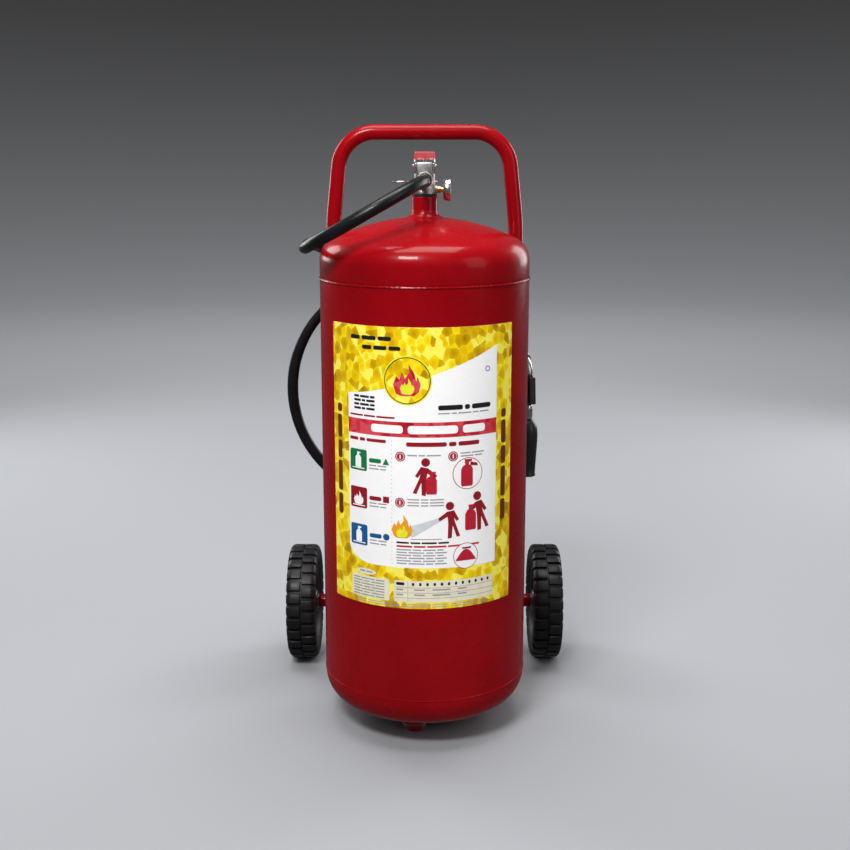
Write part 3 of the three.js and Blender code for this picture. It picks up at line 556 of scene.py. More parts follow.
def smooth_route(points, steps=6):
    """A centripetal Catmull-Rom curve through points, with its ends carried straight on."""
    guides = [2 * points[0] - points[1], *points, 2 * points[-1] - points[-2]]
    route = []
    for a, b, c, d in zip(guides, guides[1:], guides[2:], guides[3:]):
        knots = [0.0]
        for start, end in ((a, b), (b, c), (c, d)):
            knots.append(knots[-1] + math.sqrt(max((end - start).length, 1e-9)))
        for i in range(steps):
            t = knots[1] + (knots[2] - knots[1]) * i / steps
            ab = a.lerp(b, (t - knots[0]) / (knots[1] - knots[0]))
            bc = b.lerp(c, (t - knots[1]) / (knots[2] - knots[1]))
            cd = c.lerp(d, (t - knots[2]) / (knots[3] - knots[2]))
            abc = ab.lerp(bc, (t - knots[0]) / (knots[2] - knots[0]))
            bcd = bc.lerp(cd, (t - knots[1]) / (knots[3] - knots[1]))
            route.append(abc.lerp(bcd, (t - knots[1]) / (knots[2] - knots[1])))
    route.append(points[-1].copy())
    return route


def weld_bead(path, radius, closed=False, ripple=5.0):
    """A weld bead along a path, with the overlapping ripples that it solidifies in."""
    rng = random.Random(len(path))
    wobble = [rng.uniform(0.88, 1.12) for _ in path]

    def bead_radius(i):
        return radius * wobble[i] * (1 + 0.12 * math.sin(2 * math.pi * i / ripple))

    return sweep(path, bead_radius, 8, closed)


def ring_path(radius, height, count, place=PLACE):
    """Points around a circle about the local z axis."""
    turn = [2 * math.pi * i / count for i in range(count)]
    return [place @ Vector((radius * math.cos(a), radius * math.sin(a), height)) for a in turn]


def tube_ring(centre, direction, radius, forward):
    """A circle of points around a tube, a little way along it."""
    direction = direction.normalized()
    side = direction.orthogonal().normalized()
    up = direction.cross(side)
    middle = centre + direction * forward
    turn = [2 * math.pi * i / 90 for i in range(90)]
    return [PLACE @ (middle + radius * (math.cos(a) * side + math.sin(a) * up)) for a in turn]


def axis_place(origin, direction, base=PLACE):
    """Local z runs from an origin along a direction, both in the coordinates of the base."""
    turn = Vector(direction).to_track_quat("Z", "Y").to_matrix().to_4x4()
    return base @ Matrix.Translation(origin) @ turn


OUTLET_AXIS = axis_place((0, 0, OUTLET_Z), (0, -1, 0))
GAUGE_AXIS = axis_place((0, 0, GAUGE_Z), (1, 0, 0))


# ---------- hose, with the route of its CAD tube ----------
UPPER_RUN = [
    (0, -56.35, OUTLET_Z), (0, -72, 1071.5), (-4, -92, 1070), (-14, -118, 1066), (-34, -147, 1055.5),
    (-63, -169, 1039.5), (-97, -180, 1020.5), (-133, -178, 1000), (-167, -165, 981), (-195, -141, 965.5),
    (-213, -109, 955), (-221.5, -72, 950), (-223, -32, 949), (-223, 12, 949), (-220, 62, 946),
    (-213, 114, 940), (-195, 160, 926), (-162, 194, 907), (-118, 214, 888), (-60, 218, 873),
]
WIDE_TURN = [
    (0, 217, 867), (60, 218.5, 858), (115, 220, 829), (160, 222, 783), (187, 223.5, 722), (195, 225, 652),
    (188, 226.5, 582), (165, 228, 512), (122, 229.5, 450), (62, 231, 407), (-8, 232.5, 388), (-78, 234, 390),
    (-143, 235.5, 410), (-212, 236.5, 457), (-260, 237.5, 526), (-281, 238.5, 606), (-274, 239, 689),
    (-239, 239.5, 765), (-180, 240, 823), (-110, 240.5, 857), (-50, 241, 868),
]
LAST_RUN = [
    (64, 289.5, 856), (110, 288, 850), (150, 274, 835), (178, 245, 812), (190, 208, 790), (188, 172, 765),
]


def elbow_end(distance):
    """The point at a distance beyond the end of the nozzle's elbow, in nozzle coordinates."""
    forward = ELBOW_R * (1 - math.cos(ELBOW_ANGLE)) + distance * math.sin(ELBOW_ANGLE)
    upward = ELBOW_R * math.sin(ELBOW_ANGLE) + distance * math.cos(ELBOW_ANGLE)
    return Vector((0, forward, ELBOW_BASE_Z + upward))


def hose_route():
    points = [PLACE @ Vector(p) for p in UPPER_RUN + WIDE_TURN]
    for i in range(COIL_TURNS * TURN_POINTS + 1):
        angle = 2 * math.pi * i / TURN_POINTS
        y = COIL_FIRST_Y + COIL_PITCH * i / TURN_POINTS
        points.append(PLACE @ Vector((COIL_R * math.sin(angle), y, COIL_Z + COIL_R * math.cos(angle))))
    points += [PLACE @ Vector(p) for p in LAST_RUN]
    points += [NOZZLE_PLACE @ elbow_end(FERRULE_END + HOSE_LEAD), NOZZLE_PLACE @ elbow_end(FERRULE_END)]
    return smooth_route(points)


def add_hose():
    route = hose_route()
    shape = sweep(route, HOSE_R / 1000, 24)
    hose = add_piece(
        "hose_rubber_run", shape, HOSE_RUBBER, stands_for=["discharge_hose"],
    )


add_hose()


# ---------- pressure vessel ----------
def head_curve(knuckle_r, offset, crown_end_r):
    """Half outline of a torispherical head, in height above the end of its straight flange."""
    inset = VESSEL_R - knuckle_r
    reach = CROWN_R - knuckle_r
    centre_h = -math.sqrt(reach * reach - inset * inset)
    join_deg = math.degrees(math.atan2(-centre_h, inset))
    end_deg = math.degrees(math.acos(crown_end_r / (CROWN_R - offset)))
    knuckle = arc(inset, 0, knuckle_r - offset, 0, join_deg, 14)
    return knuckle + arc(0, centre_h, CROWN_R - offset, join_deg, end_deg, 18)[1:]


def add_vessel():
    shell = [
        (VESSEL_R - WALL, BOTTOM_SEAM_Z), (VESSEL_R, BOTTOM_SEAM_Z), (VESSEL_R, 240), (VESSEL_R, 420),
        (VESSEL_R, 600), (VESSEL_R, 780), (VESSEL_R, TOP_SEAM_Z), (VESSEL_R - WALL, TOP_SEAM_Z),
        (VESSEL_R - WALL, BOTTOM_SEAM_Z),
    ]
    add_piece("vessel_wall", lathe(shell, 160), RED, stands_for=["cylinder_shell"])

    outer = [(r, TOP_HEAD_BASE + h) for r, h in head_curve(TOP_KNUCKLE_R, 0, NECK_R + 0.4)]
    inner = [(r, TOP_HEAD_BASE + h) for r, h in head_curve(TOP_KNUCKLE_R, WALL, NECK_R + 0.4)]
    joggle_r = VESSEL_R - 1.1
    rim = [
        (VESSEL_R - WALL, TOP_SEAM_Z + 0.2), (joggle_r, TOP_SEAM_Z + 0.2), (joggle_r, TOP_SEAM_Z + 3.6),
        (VESSEL_R - 0.3, TOP_SEAM_Z + 6.2), (VESSEL_R, TOP_SEAM_Z + 8.5),
    ]
    profile = rim + outer + inner[::-1] + rim[:1]
    add_piece("top_dome", lathe(profile, 160), RED, stands_for=["top_head"], sharp_deg=50)

    outer = [(r, BOTTOM_HEAD_BASE - h) for r, h in head_curve(BOTTOM_KNUCKLE_R, 0, 0)]
    inner = [(r, BOTTOM_HEAD_BASE - h) for r, h in head_curve(BOTTOM_KNUCKLE_R, WALL, 0)]
    rim = [(VESSEL_R - WALL, BOTTOM_SEAM_Z - 0.2), (VESSEL_R, BOTTOM_SEAM_Z - 0.2)]
    profile = inner[::-1] + rim + outer
    add_piece("bottom_dome", lathe(profile, 160), RED, stands_for=["bottom_head"], sharp_deg=50)

    seams = [
        ("top_seam_bead", VESSEL_R - 0.6, TOP_SEAM_Z + 1.6, 2.3),
        ("bottom_seam_bead", VESSEL_R - 0.8, BOTTOM_SEAM_Z, 1.9),
    ]
    for name, radius, height, bead in seams:
        add_piece(name, weld_bead(ring_path(radius, height, 600), bead / 1000, closed=True), RED)


def add_neck():
    low_z = NECK_BASE_Z - 12
    collar = [
        (NECK_BORE_R, low_z), (NECK_R, low_z), (NECK_R, NECK_TOP_Z - 1.2), (NECK_R - 1.2, NECK_TOP_Z),
        (NECK_BORE_R, NECK_TOP_Z), (NECK_BORE_R, low_z),
    ]
    add_piece("neck_pipe", lathe(collar, 72), RED, stands_for=["neck_collar"])
    fillet = [
        (23.7, 1017.0), (24.3, 1015.6), (24.8, 1012.6), (26.0, 1009.4), (28.0, 1006.4), (31.0, 1004.0),
        (34.6, 1002.2), (38.2, 1001.1), (39.4, 1000.2), (38.0, 999.4), (23.7, 1001.0), (23.7, 1017.0),
    ]
    add_piece("neck_weld_fillet", lathe(fillet, 96), RED, sharp_deg=70)


def bottom_dome_z(reach):
    """Height of the outer surface of the bottom head, at a distance from the vessel axis."""
    rise = math.sqrt((CROWN_R - BOTTOM_KNUCKLE_R) ** 2 - (VESSEL_R - BOTTOM_KNUCKLE_R) ** 2)
    return BOTTOM_HEAD_BASE + rise - math.sqrt(CROWN_R ** 2 - reach ** 2)


def add_foot():
    low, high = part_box("foot")
    centre = Vector(((low.x + high.x) / 2, (low.y + high.y) / 2 - AXIS_Y, 0)) * 1000
    stub = [
        (0, 0), (18.0, 0), (19.5, 1.2), (20.4, 4), (21.8, 9), (24.4, 14), (28.2, 18.2), (FOOT_R, 21.5),
        (FOOT_R, 34), (0, 34),
    ]
    vertices, faces = lathe(stub, 64, PLACE @ Matrix.Translation(centre))
    for vertex in vertices:
        reach = math.hypot(vertex.x, vertex.y - AXIS_Y) * 1000
        vertex.z = min(vertex.z, (bottom_dome_z(reach) + 1) / 1000)
    add_piece("foot_stub", (vertices, faces), RED, stands_for=["foot"])
    bead = []
    for i in range(130):
        angle = 2 * math.pi * i / 130
        point = centre + (FOOT_R - 0.5) * Vector((math.cos(angle), math.sin(angle), 0))
        point.z = bottom_dome_z(point.length)
        bead.append(PLACE @ point)
    add_piece("foot_weld_bead", weld_bead(bead, 0.0028, closed=True), RED)


add_vessel()
add_neck()
add_foot()


# ---------- push handle, carriage and rack ----------
def rounded_corner(before, corner, after, count):
    """Points of a cubic bend from one tangent point to the other."""
    pull = 0.5523
    first = before.lerp(corner, pull)
    second = after.lerp(corner, pull)
    points = []
    for i in range(count + 1):
        t = i / count
        s = 1 - t
        points.append(s ** 3 * before + 3 * s * s * t * first + 3 * s * t * t * second + t ** 3 * after)
    return points


def toward(start, end, reach):
    return start.lerp(end, reach / (end - start).length)


def handle_half(side):
    """The left or right half of the push handle's centre line, from its lower end to the top bar."""
    foot = Vector((side * HANDLE_LEG_X, HANDLE_Y, HANDLE_END_Z))
    shoulder = Vector((side * HANDLE_LEG_X, HANDLE_Y, HANDLE_SHOULDER_Z))
    corner_x = HANDLE_LEG_X - HANDLE_SPLAY * (HANDLE_TOP_Z - HANDLE_SHOULDER_Z)
    corner = Vector((side * corner_x, HANDLE_Y, HANDLE_TOP_Z))
    reach = corner_x - HANDLE_STRAIGHT_HALF
    bar_end = Vector((side * HANDLE_STRAIGHT_HALF, HANDLE_Y, HANDLE_TOP_Z))
    lower = rounded_corner(toward(shoulder, foot, 24), shoulder, toward(shoulder, corner, 24), 8)
    upper = rounded_corner(toward(corner, shoulder, reach), corner, bar_end, 22)
    return [foot, foot.lerp(lower[0], 0.5), *lower, lower[-1].lerp(upper[0], 0.5), *upper]


def add_push_handle():
    left = handle_half(-1)
    right = handle_half(1)
    middle = left[-1].lerp(right[-1], 0.5)
    path = [PLACE @ p for p in left + [middle] + right[::-1]]
    tube = sweep(path, HANDLE_TUBE_R / 1000, 40)
    soften(add_piece("push_handle_tube", tube, RED, stands_for=["handle_frame"]), 1.6)


def add_carriage():
    for name, side in SIDES:
        top = Vector((side * STRUT_X, STRUT_Y, STRUT_TOP_Z))
        bend = Vector((side * STRUT_X, STRUT_Y, STRUT_BEND_Z))
        axle = Vector((side * STRUT_X, AXLE_Y, AXLE_Z))
        curve = rounded_corner(toward(bend, top, 40), bend, toward(bend, axle, 40), 10)
        end = toward(axle, bend, 12)
        path = [PLACE @ p for p in [top, *curve, end]]
        strut = sweep(path, STRUT_R / 1000, 36)
        soften(add_piece(f"strut_tube_{name}", strut, RED, stands_for=[f"carriage_strut_{name}"]), 1.6)
        ring = tube_ring(end, bend - axle, STRUT_R + 0.2, 4)
        add_piece(f"strut_weld_{name}", weld_bead(ring, WELD_R / 1000, closed=True), RED)
        brace_end = Vector((side * BRACE_X, AXLE_Y - 14, AXLE_Z))
        ring = tube_ring(brace_end, Vector((0, 1, 0)), BRACE_R + 0.2, 0)
        add_piece(f"brace_weld_{name}", weld_bead(ring, WELD_R / 1000, closed=True), RED)


add_push_handle()
add_carriage()


# ---------- wheels ----------
def lug(side, row, index):
    """One tread block with chamfered ends; x runs across the wheel, from its middle outward."""
    pitch = 2 * math.pi / LUGS_PER_ROW
    start = (index + 0.5 * row) * pitch
    outward = 1 if row else -1
    inner_root = [(1.4, 119.5)]
    crown = [(1.4, 126.0), (2.4, TYRE_R), (20.5, TYRE_R), (25.5, 126.0), (29.4, 122.6), (32.2, 116.0)]
    outer_root = [(32.4, 109.5), (30.5, 109.0)]
    stations = [(0.00, 1.6), (0.03, 0.3), (0.08, 0.0), (0.36, 0.0), (0.66, 0.0), (0.71, 0.3), (0.74, 1.6)]
    vertices = []
    for share, drop in stations:
        angle = start + share * pitch
        section = inner_root + [(x, radius - drop) for x, radius in crown] + outer_root
        for x, radius in section:
            y = AXLE_Y + radius * math.cos(angle)
            z = AXLE_Z + radius * math.sin(angle)
            vertices.append(PLACE @ Vector((TYRE_MID_X * side + outward * x, y, z)))
    count = len(section)
    faces = []
    for s in range(len(stations) - 1):
        for k in range(count):
            n = (k + 1) % count
            faces.append([s * count + k, s * count + n, (s + 1) * count + n, (s + 1) * count + k])
    faces.append(list(range(count)))
    faces.append([(len(stations) - 1) * count + k for k in range(count)])
    return vertices, faces


def wheel_place(side):
    """Local z runs along the axle, outward on either side, from the middle of the tyre."""
    turn = Matrix.Rotation(side * math.pi / 2, 4, "Y")
    return PLACE @ Matrix.Translation((side * TYRE_MID_X, AXLE_Y, AXLE_Z)) @ turn


def add_wheel(name, side):
    body = f"{name}_wheel"
    place = wheel_place(side)
    half = [
        (88, 22.0), (92, 26.0), (95.5, 28.6), (97, 29.0), (98.5, 28.6), (101, 30.4), (105, 31.6), (110, 31.4),
        (116, 30.2), (119.5, 27.5), (121, 24),
    ]
    carcass = [(r, -h) for r, h in half] + [(121.4, 0)] + half[::-1] + [(88, -22.0)]
    lugs = [lug(side, row, i) for row in (0, 1) for i in range(LUGS_PER_ROW)]
    tyre = joined(lathe(carcass, 140, place), *lugs)
    add_piece(f"tyre_tread_{name}", tyre, TYRE_RUBBER, body, [f"tyre_{name}"], 30)
    dish = [
        (11.9, -27.3), (22.5, -27.3), (25, -25), (25, -5), (30, -3.4), (44, -2.6), (60, -3.4), (72, -6.5),
        (77.5, -12), (79.2, -20), (81.5, -23.6), (84.5, -24.2), (87.3, -22.5), (87.3, 22.5), (84.5, 24.2),
        (81.5, 23.6), (79.2, 20), (77.5, 12), (72, 2.5), (60, 3.8), (44, 4.4), (30, 3.8), (25, 6), (25, 18.5),
        (22.5, 20.3), (11.9, 20.3), (11.9, -27.3),
    ]
    rim = lathe(dish, 96, place)
    ribs = []
    for i in range(RIM_SPOKES):
        turn = place @ Matrix.Rotation(2 * math.pi * i / RIM_SPOKES, 4, "Z")
        ribs.append(rounded_block((27, -4.5, 1.5), (73, 4.5, 6.4), turn, 1.8))
        ribs.append(rounded_block((27, -4.5, -6.0), (73, 4.5, -1.5), turn, 1.8))
    add_piece(f"rim_dish_{name}", joined(rim, *ribs), RIM_BLACK, body, [f"rim_{name}"], 32)


def add_axle():
    place = axis_place((0, AXLE_Y, AXLE_Z), (1, 0, 0))
    sleeve_end = [(SLEEVE_R, SLEEVE_HALF - 0.8), (SLEEVE_R - 0.8, SLEEVE_HALF), (SLEEVE_BORE_R, SLEEVE_HALF)]
    sleeve = [(r, -h) for r, h in sleeve_end[::-1]] + sleeve_end
    sleeve.append(sleeve[0])
    add_piece("axle_sleeve", lathe(sleeve, 48, place), RED, stands_for=["axle_tube"])
    rod_end = [(AXLE_ROD_R, AXLE_ROD_HALF - 1.2), (AXLE_ROD_R - 1.2, AXLE_ROD_HALF), (0, AXLE_ROD_HALF)]
    rod = [(r, -h) for r, h in rod_end[::-1]] + rod_end
    add_piece("axle_rod", lathe(rod, 40, place), STEEL, stands_for=["axle_bar"])
    for name, side in SIDES:
        add_brace(name, side * BRACE_X)
        add_cotter_pin(name, side)


def add_brace(name, centre_x):
    """A tube from the vessel to the axle sleeve, with the bead round its end on the vessel."""
    path = [PLACE @ Vector((centre_x, y, AXLE_Z)) for y in (169, 230, AXLE_Y - 10)]
    tube = sweep(path, BRACE_R / 1000, 40)
    add_piece(f"brace_tube_{name}", tube, RED, stands_for=[f"carriage_brace_{name}"])
    ring = []
    for i in range(80):
        angle = 2 * math.pi * i / 80
        x = centre_x + (BRACE_R + 0.5) * math.cos(angle)
        y = math.sqrt(BRACE_SEAT_R ** 2 - x * x)
        ring.append(PLACE @ Vector((x, y, AXLE_Z + (BRACE_R + 0.5) * math.sin(angle))))
    add_piece(f"brace_foot_weld_{name}", weld_bead(ring, 0.0023, closed=True), RED)


def add_cotter_pin(name, side):
    """A split pin through the end of the axle: an eye above, two legs through, spread ends below."""
    leg = [(3.4, -12.6), (1.0, -8.6), (0.8, -7), (0.8, 0), (0.8, 7), (0.8, 8.6)]
    eye = []
    for i in range(13):
        angle = math.radians(205 - 230 * i / 12)
        eye.append((2.3 * math.cos(angle), 10.9 + 2.1 * math.sin(angle)))
    outline = [(-x, z) for x, z in leg] + eye + leg[::-1]
    path = [PLACE @ Vector((side * COTTER_X + x, AXLE_Y, AXLE_Z + z)) for x, z in outline]
    wire = sweep(path, 0.00075, 12)
    add_piece(f"split_pin_{name}", wire, STEEL, stands_for=[f"cotter_pin_{name}"])


def weld_line(name, points, radius=WELD_R):
    add_piece(name, weld_bead([PLACE @ p for p in points], radius / 1000), RED)


def spaced(start, end, step=1.5):
    """Points at even steps from one point to another."""
    count = max(2, round((end - start).length / step))
    return [start.lerp(end, i / count) for i in range(count + 1)]


def upright(side, turn, along, across, low, high):
    """An upright line of points, at a place given along and across a direction from the vessel axis."""
    x = side * (along * math.cos(turn) - across * math.sin(turn))
    y = along * math.sin(turn) + across * math.cos(turn)
    return spaced(Vector((x, y, low)), Vector((x, y, high)))


def add_frame_welds():
    leg_turn = math.atan2(HANDLE_Y, HANDLE_LEG_X)
    strut_turn = math.atan2(STRUT_Y, STRUT_X)
    for name, side in SIDES:
        for level, height in GUSSET_LEVELS:
            low, high = height - GUSSET_HALF_HEIGHT, height + GUSSET_HALF_HEIGHT
            for seat, along, across in (("wall", VESSEL_R - 0.6, 27.0), ("leg", VESSEL_R + 15, 16.2)):
                line = upright(side, leg_turn, along, across, low, high)
                weld_line(f"gusset_weld_{name}_{level}_{seat}", line)
        for edge, across in (("front", -8.5), ("rear", 8.5)):
            for i in range(3):
                low = 372 + 36 * i
                line = upright(side, strut_turn, VESSEL_R + 1.4, across, low, low + 24)
                weld_line(f"strut_wall_weld_{name}_{edge}_{i + 1}", line, 2.6)
    shelf = []
    for i in range(73):
        x = -54 + 1.5 * i
        z = COIL_Z + math.sqrt(SHELF_R ** 2 - x * x) - 1.2
        shelf.append(Vector((x, math.sqrt(SHELF_SEAT_R ** 2 - x * x), z)))
    weld_line("rack_weld_shelf", shelf)
    for edge, x in (("left", -3.6), ("right", 3.6)):
        line = spaced(Vector((x, BRACE_SEAT_R, 791)), Vector((x, BRACE_SEAT_R, 842)))
        weld_line(f"rack_weld_gusset_{edge}", line, 1.8)


for side_name, side_sign in SIDES:
    add_wheel(side_name, side_sign)
add_axle()
add_frame_welds()


# ---------- solid shapes ----------
def prism(outline, low, high, place):
    """A flat outline in the local x-y plane, extruded along local z."""
    count = len(outline)
    vertices = [place @ Vector((x, y, low)) for x, y in outline]
    vertices += [place @ Vector((x, y, high)) for x, y in outline]
    faces = [list(range(count)), list(range(2 * count - 1, count - 1, -1))]
    for i in range(count):
        n = (i + 1) % count
        faces.append([i, n, count + n, count + i])
    return vertices, faces


def rounded(outline, radii, steps=5):
    """An outline with each corner rounded by its own radius."""
    points = []
    count = len(outline)
    for i, radius in enumerate(radii):
        corner = Vector(outline[i])
        before = (Vector(outline[i - 1]) - corner)
        after = (Vector(outline[(i + 1) % count]) - corner)
        if radius == 0:
            points.append(tuple(corner))
            continue
        half = before.angle(after) / 2
        reach = min(radius / math.tan(half), 0.49 * before.length, 0.49 * after.length)
        start = corner + before.normalized() * reach
        end = corner + after.normalized() * reach
        for k in range(steps + 1):
            t = k / steps
            points.append(tuple((1 - t) ** 2 * start + 2 * t * (1 - t) * corner + t * t * end))
    return points


def solid_object(shape):
    mesh = bpy.data.meshes.new("solid")
    mesh.from_pydata([tuple(v) for v in shape[0]], [], shape[1])
    face_outward(mesh)
    item = bpy.data.objects.new("solid", mesh)
    bpy.context.collection.objects.link(item)
    return item


def carved(shapes, cuts=(), within=()):
    """The union of some shapes, less the cuts, kept only where it is inside the last ones."""
    base = solid_object(shapes[0])
    tools = []
    for group, operation in ((shapes[1:], "UNION"), (within, "INTERSECT"), (cuts, "DIFFERENCE")):
        for shape in group:
            tool = solid_object(shape)
            step = base.modifiers.new(operation, "BOOLEAN")
            step.operation = operation
            step.solver = "EXACT"
            step.object = tool
            tools.append(tool)
    bpy.context.view_layer.update()
    solved = base.evaluated_get(bpy.context.evaluated_depsgraph_get())
    mesh = solved.to_mesh()
    result = [v.co.copy() for v in mesh.vertices], [list(f.vertices) for f in mesh.polygons]
    solved.to_mesh_clear()
    for item in [base, *tools]:
        bpy.data.objects.remove(item)
    return result


def dress(node, material, width=0):
    """A finish, and rounded edges, for a node of the CAD model that is kept."""
    piece = bpy.data.objects[node]
    piece.data.materials.clear()
    piece.data.materials.append(material)
    if width:
        soften(piece, width)


def pipe(radius, low, high, place, sides=40):
    return lathe([(0, low), (radius, low), (radius, high), (0, high)], sides, place)


# ---------- valve ----------
def cross_hole(centre, radius):
    return pipe(radius, -30, 30, axis_place(centre, (1, 0, 0)), 28)


def add_valve_body():
    column = [
        (0, 1012), (17.4, 1012), (17.4, 1045.5), (21.8, 1045.5), (22.5, 1046.2), (22.5, 1050.2),
        (21.9, 1051.2), (20.4, 1060), (19.7, 1066), (19.5, 1070), (19.5, 1082.6), (18.4, 1084), (0, 1084),
    ]
    outlet = [
        (0, 0), (14.5, 0), (14.5, 20), (13.9, 20.6), (13.9, 22), (14.5, 22.6), (14.5, 29.2), (13.7, 30),
        (0, 30),
    ]
    boss = [(0, 0), (8.6, 0), (8.4, 20.5), (7.5, 22), (7.5, 23.4), (6.9, 24), (0, 24)]
    shapes = [
        lathe(column, 72), rounded_block((-15, -17, 1079), (15, 17, 1104), PLACE, 2.2),
        lathe(outlet, 56, OUTLET_AXIS), lathe(boss, 40, GAUGE_AXIS),
    ]
    cuts = [
        pipe(11.4, 1005, 1030, PLACE), pipe(10, 1020, 1062, PLACE), pipe(6, 1050, 1086, PLACE),
        pipe(3.35, 1080, 1110, PLACE), pipe(7.5, 2, 40, OUTLET_AXIS), pipe(4.2, 8, 30, GAUGE_AXIS),
        cross_hole(PIVOT, PIVOT_HOLE_R), cross_hole(RIVET, RIVET_HOLE_R),
    ]
    body = add_piece("valve_casting", carved(shapes, cuts), NICKEL, stands_for=["valve_body"])
    soften(body, 0.35)


def ridge(half_width, top, bottom, corner, from_y, to_y):
    """A bar along the y axis with its two upper edges rounded."""
    outline = [(-half_width, bottom), (half_width, bottom), (half_width, top), (-half_width, top)]
    return prism(rounded(outline, [0, 0, corner, corner], 6), from_y, to_y, END_VIEW)


def tongue(half_width, from_y, to_y, corner, low, high):
    """A flat plate along the y axis with the two corners of its rear end rounded."""
    plan = [(-half_width, from_y), (half_width, from_y), (half_width, to_y), (-half_width, to_y)]
    return prism(rounded(plan, [0, 0, corner, corner], 8), low, high, PLACE)


def add_lever():
    """The operating lever: a folded sheet over the valve, slotted round the safety pin, and its grip."""
    side_outline = [
        (-17, 1091), (-4, 1091), (2, 1112), (24, 1112), (24, 1060), (42, 1060), (42, LEVER_TOP_Z),
        (-6, LEVER_TOP_Z), (-17, 1106),
    ]
    side_outline = rounded(side_outline, [5, 2, 4, 3, 5, 5, 1, 5, 5])
    shell = ridge(LEVER_HALF_WIDTH, LEVER_TOP_Z, 1050, 5, -20, 44)
    inner_top = LEVER_TOP_Z - SHEET_STEEL
    inside = [
        (44, 1050), (44, inner_top), (-5.2, inner_top), (-12.9, 1109.4), (-30, 1109.4), (-30, 1050),
    ]
    inner_half = LEVER_HALF_WIDTH - SHEET_STEEL
    hollow = prism(inside, -inner_half, inner_half, SIDE_VIEW)
    reach = math.hypot(SAFETY[1] - PIVOT[1], SAFETY[2] - PIVOT[2])
    rest = math.degrees(math.atan2(SAFETY[2] - PIVOT[2], SAFETY[1] - PIVOT[1]))
    slot = arc(PIVOT[1], PIVOT[2], reach + SAFETY_SLOT_HALF, rest - 4, rest + 17, 8)
    slot += arc(PIVOT[1], PIVOT[2], reach - SAFETY_SLOT_HALF, rest + 17, rest - 4, 8)
    cuts = [hollow, prism(slot, -30, 30, SIDE_VIEW), cross_hole(PIVOT, PIVOT_HOLE_R)]
    body = carved([shell], cuts, [prism(side_outline, -25, 25, SIDE_VIEW)])
    grip_shell = ridge(GRIP_HALF_WIDTH, LEVER_TOP_Z, LEVER_TOP_Z - 7, 2.6, 38, 100)
    grip_hollow = ridge(GRIP_HALF_WIDTH - SHEET_STEEL, inner_top, LEVER_TOP_Z - 8, 0.6, 37, 101)
    grip = carved([grip_shell], [grip_hollow], [tongue(GRIP_HALF_WIDTH + 0.5, 37, 100, 9, 1100, 1130)])
    lever = add_piece(
        "squeeze_lever", carved([body, grip]), LEVER_RED, "lever", ["operating_lever"],
    )
    soften(lever, 0.4)


def add_carry_handle():
    outline = rounded(
        [(-16, 1087), (22, 1087), (22, 1060), (38, 1060), (38, 1088), (30, 1092), (16, 1103), (-16, 1103)],
        [3, 3, 4, 4, 2, 3, 5, 3],
    )
    outer = BRACKET_HALF_WIDTH
    inner = outer - SHEET_STEEL
    plates = [prism(outline, near, far, SIDE_VIEW) for near, far in ((inner, outer), (-outer, -inner))]
    shelf = tongue(outer, 30, 94, 10, 1086, 1089)
    lip = carved([tongue(outer, 82, 94, 10, 1079, 1089)], [tongue(inner, 75, 92, 8.5, 1070, 1086)])
    cuts = [
        cross_hole(PIVOT, PIVOT_HOLE_R), cross_hole(RIVET, RIVET_HOLE_R), cross_hole(SAFETY, SAFETY_HOLE_R),
    ]
    bracket = carved([plates[0], shelf, plates[1], lip], cuts)
    handle = add_piece("carry_bracket", bracket, STEEL, stands_for=["carry_handle"])
    soften(handle, 0.4)


def add_valve_fittings():
    wire = arc(15, 0, 1.5, 0, 360, 20)
    wire[-1] = wire[0]
    ring = lathe(wire, 96, PLACE @ Matrix.Translation((-46, SAFETY[1], SAFETY[2])))
    add_piece("pull_ring_wire", ring, STEEL, "safety_pin_set", ["pull_ring"])
    ferrule = [(0, 38.35), (11.4, 38.35), (12.9, 39.6)]
    ferrule += grooves(12.9, 0.8, 42, 3.2, (0, 0.8, 1.6, 2.4), 4)
    ferrule += [(12.9, 55.2), (12.2, 56), (0, 56)]
    add_piece(
        "ferrule_at_valve", lathe(ferrule, 56, OUTLET_AXIS), BLACK_PLASTIC,
        stands_for=["hose_ferrule_valve"],
    )


def add_return_spring():
    """The coil spring under the collar of the stem, which shortens as the stem comes down; here it is drawn
    at one length, with a mesh of its own.
    """
    steps = 24 * SPRING_TURNS
    path = []
    for i in range(steps + 1):
        turn = 2 * math.pi * SPRING_TURNS * i / steps
        height = SPRING_LOW_Z + (SPRING_HIGH_Z - SPRING_LOW_Z) * i / steps
        path.append(PLACE @ Vector((SPRING_R * math.cos(turn), SPRING_R * math.sin(turn), height)))
    coil = sweep(path, SPRING_WIRE_R / 1000, 12)
    spring = add_piece("return_spring", coil, STEEL, stands_for=["valve_spring"])
    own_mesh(spring)


add_valve_body()
add_return_spring()
add_lever()
add_carry_handle()
add_valve_fittings()


# ---------- pressure gauge ----------
def dial_band(inner, outer, from_deg, to_deg, count):
    """A band of the dial print, between two clock angles."""
    outline = []
    for radius, start, end in ((outer, from_deg, to_deg), (inner, to_deg, from_deg)):
        for i in range(count + 1):
            angle = math.radians(start + (end - start) * i / count)
            outline.append((radius * math.sin(angle), radius * math.cos(angle)))
    return prism(outline, 0, 0.06, DIAL_VIEW)


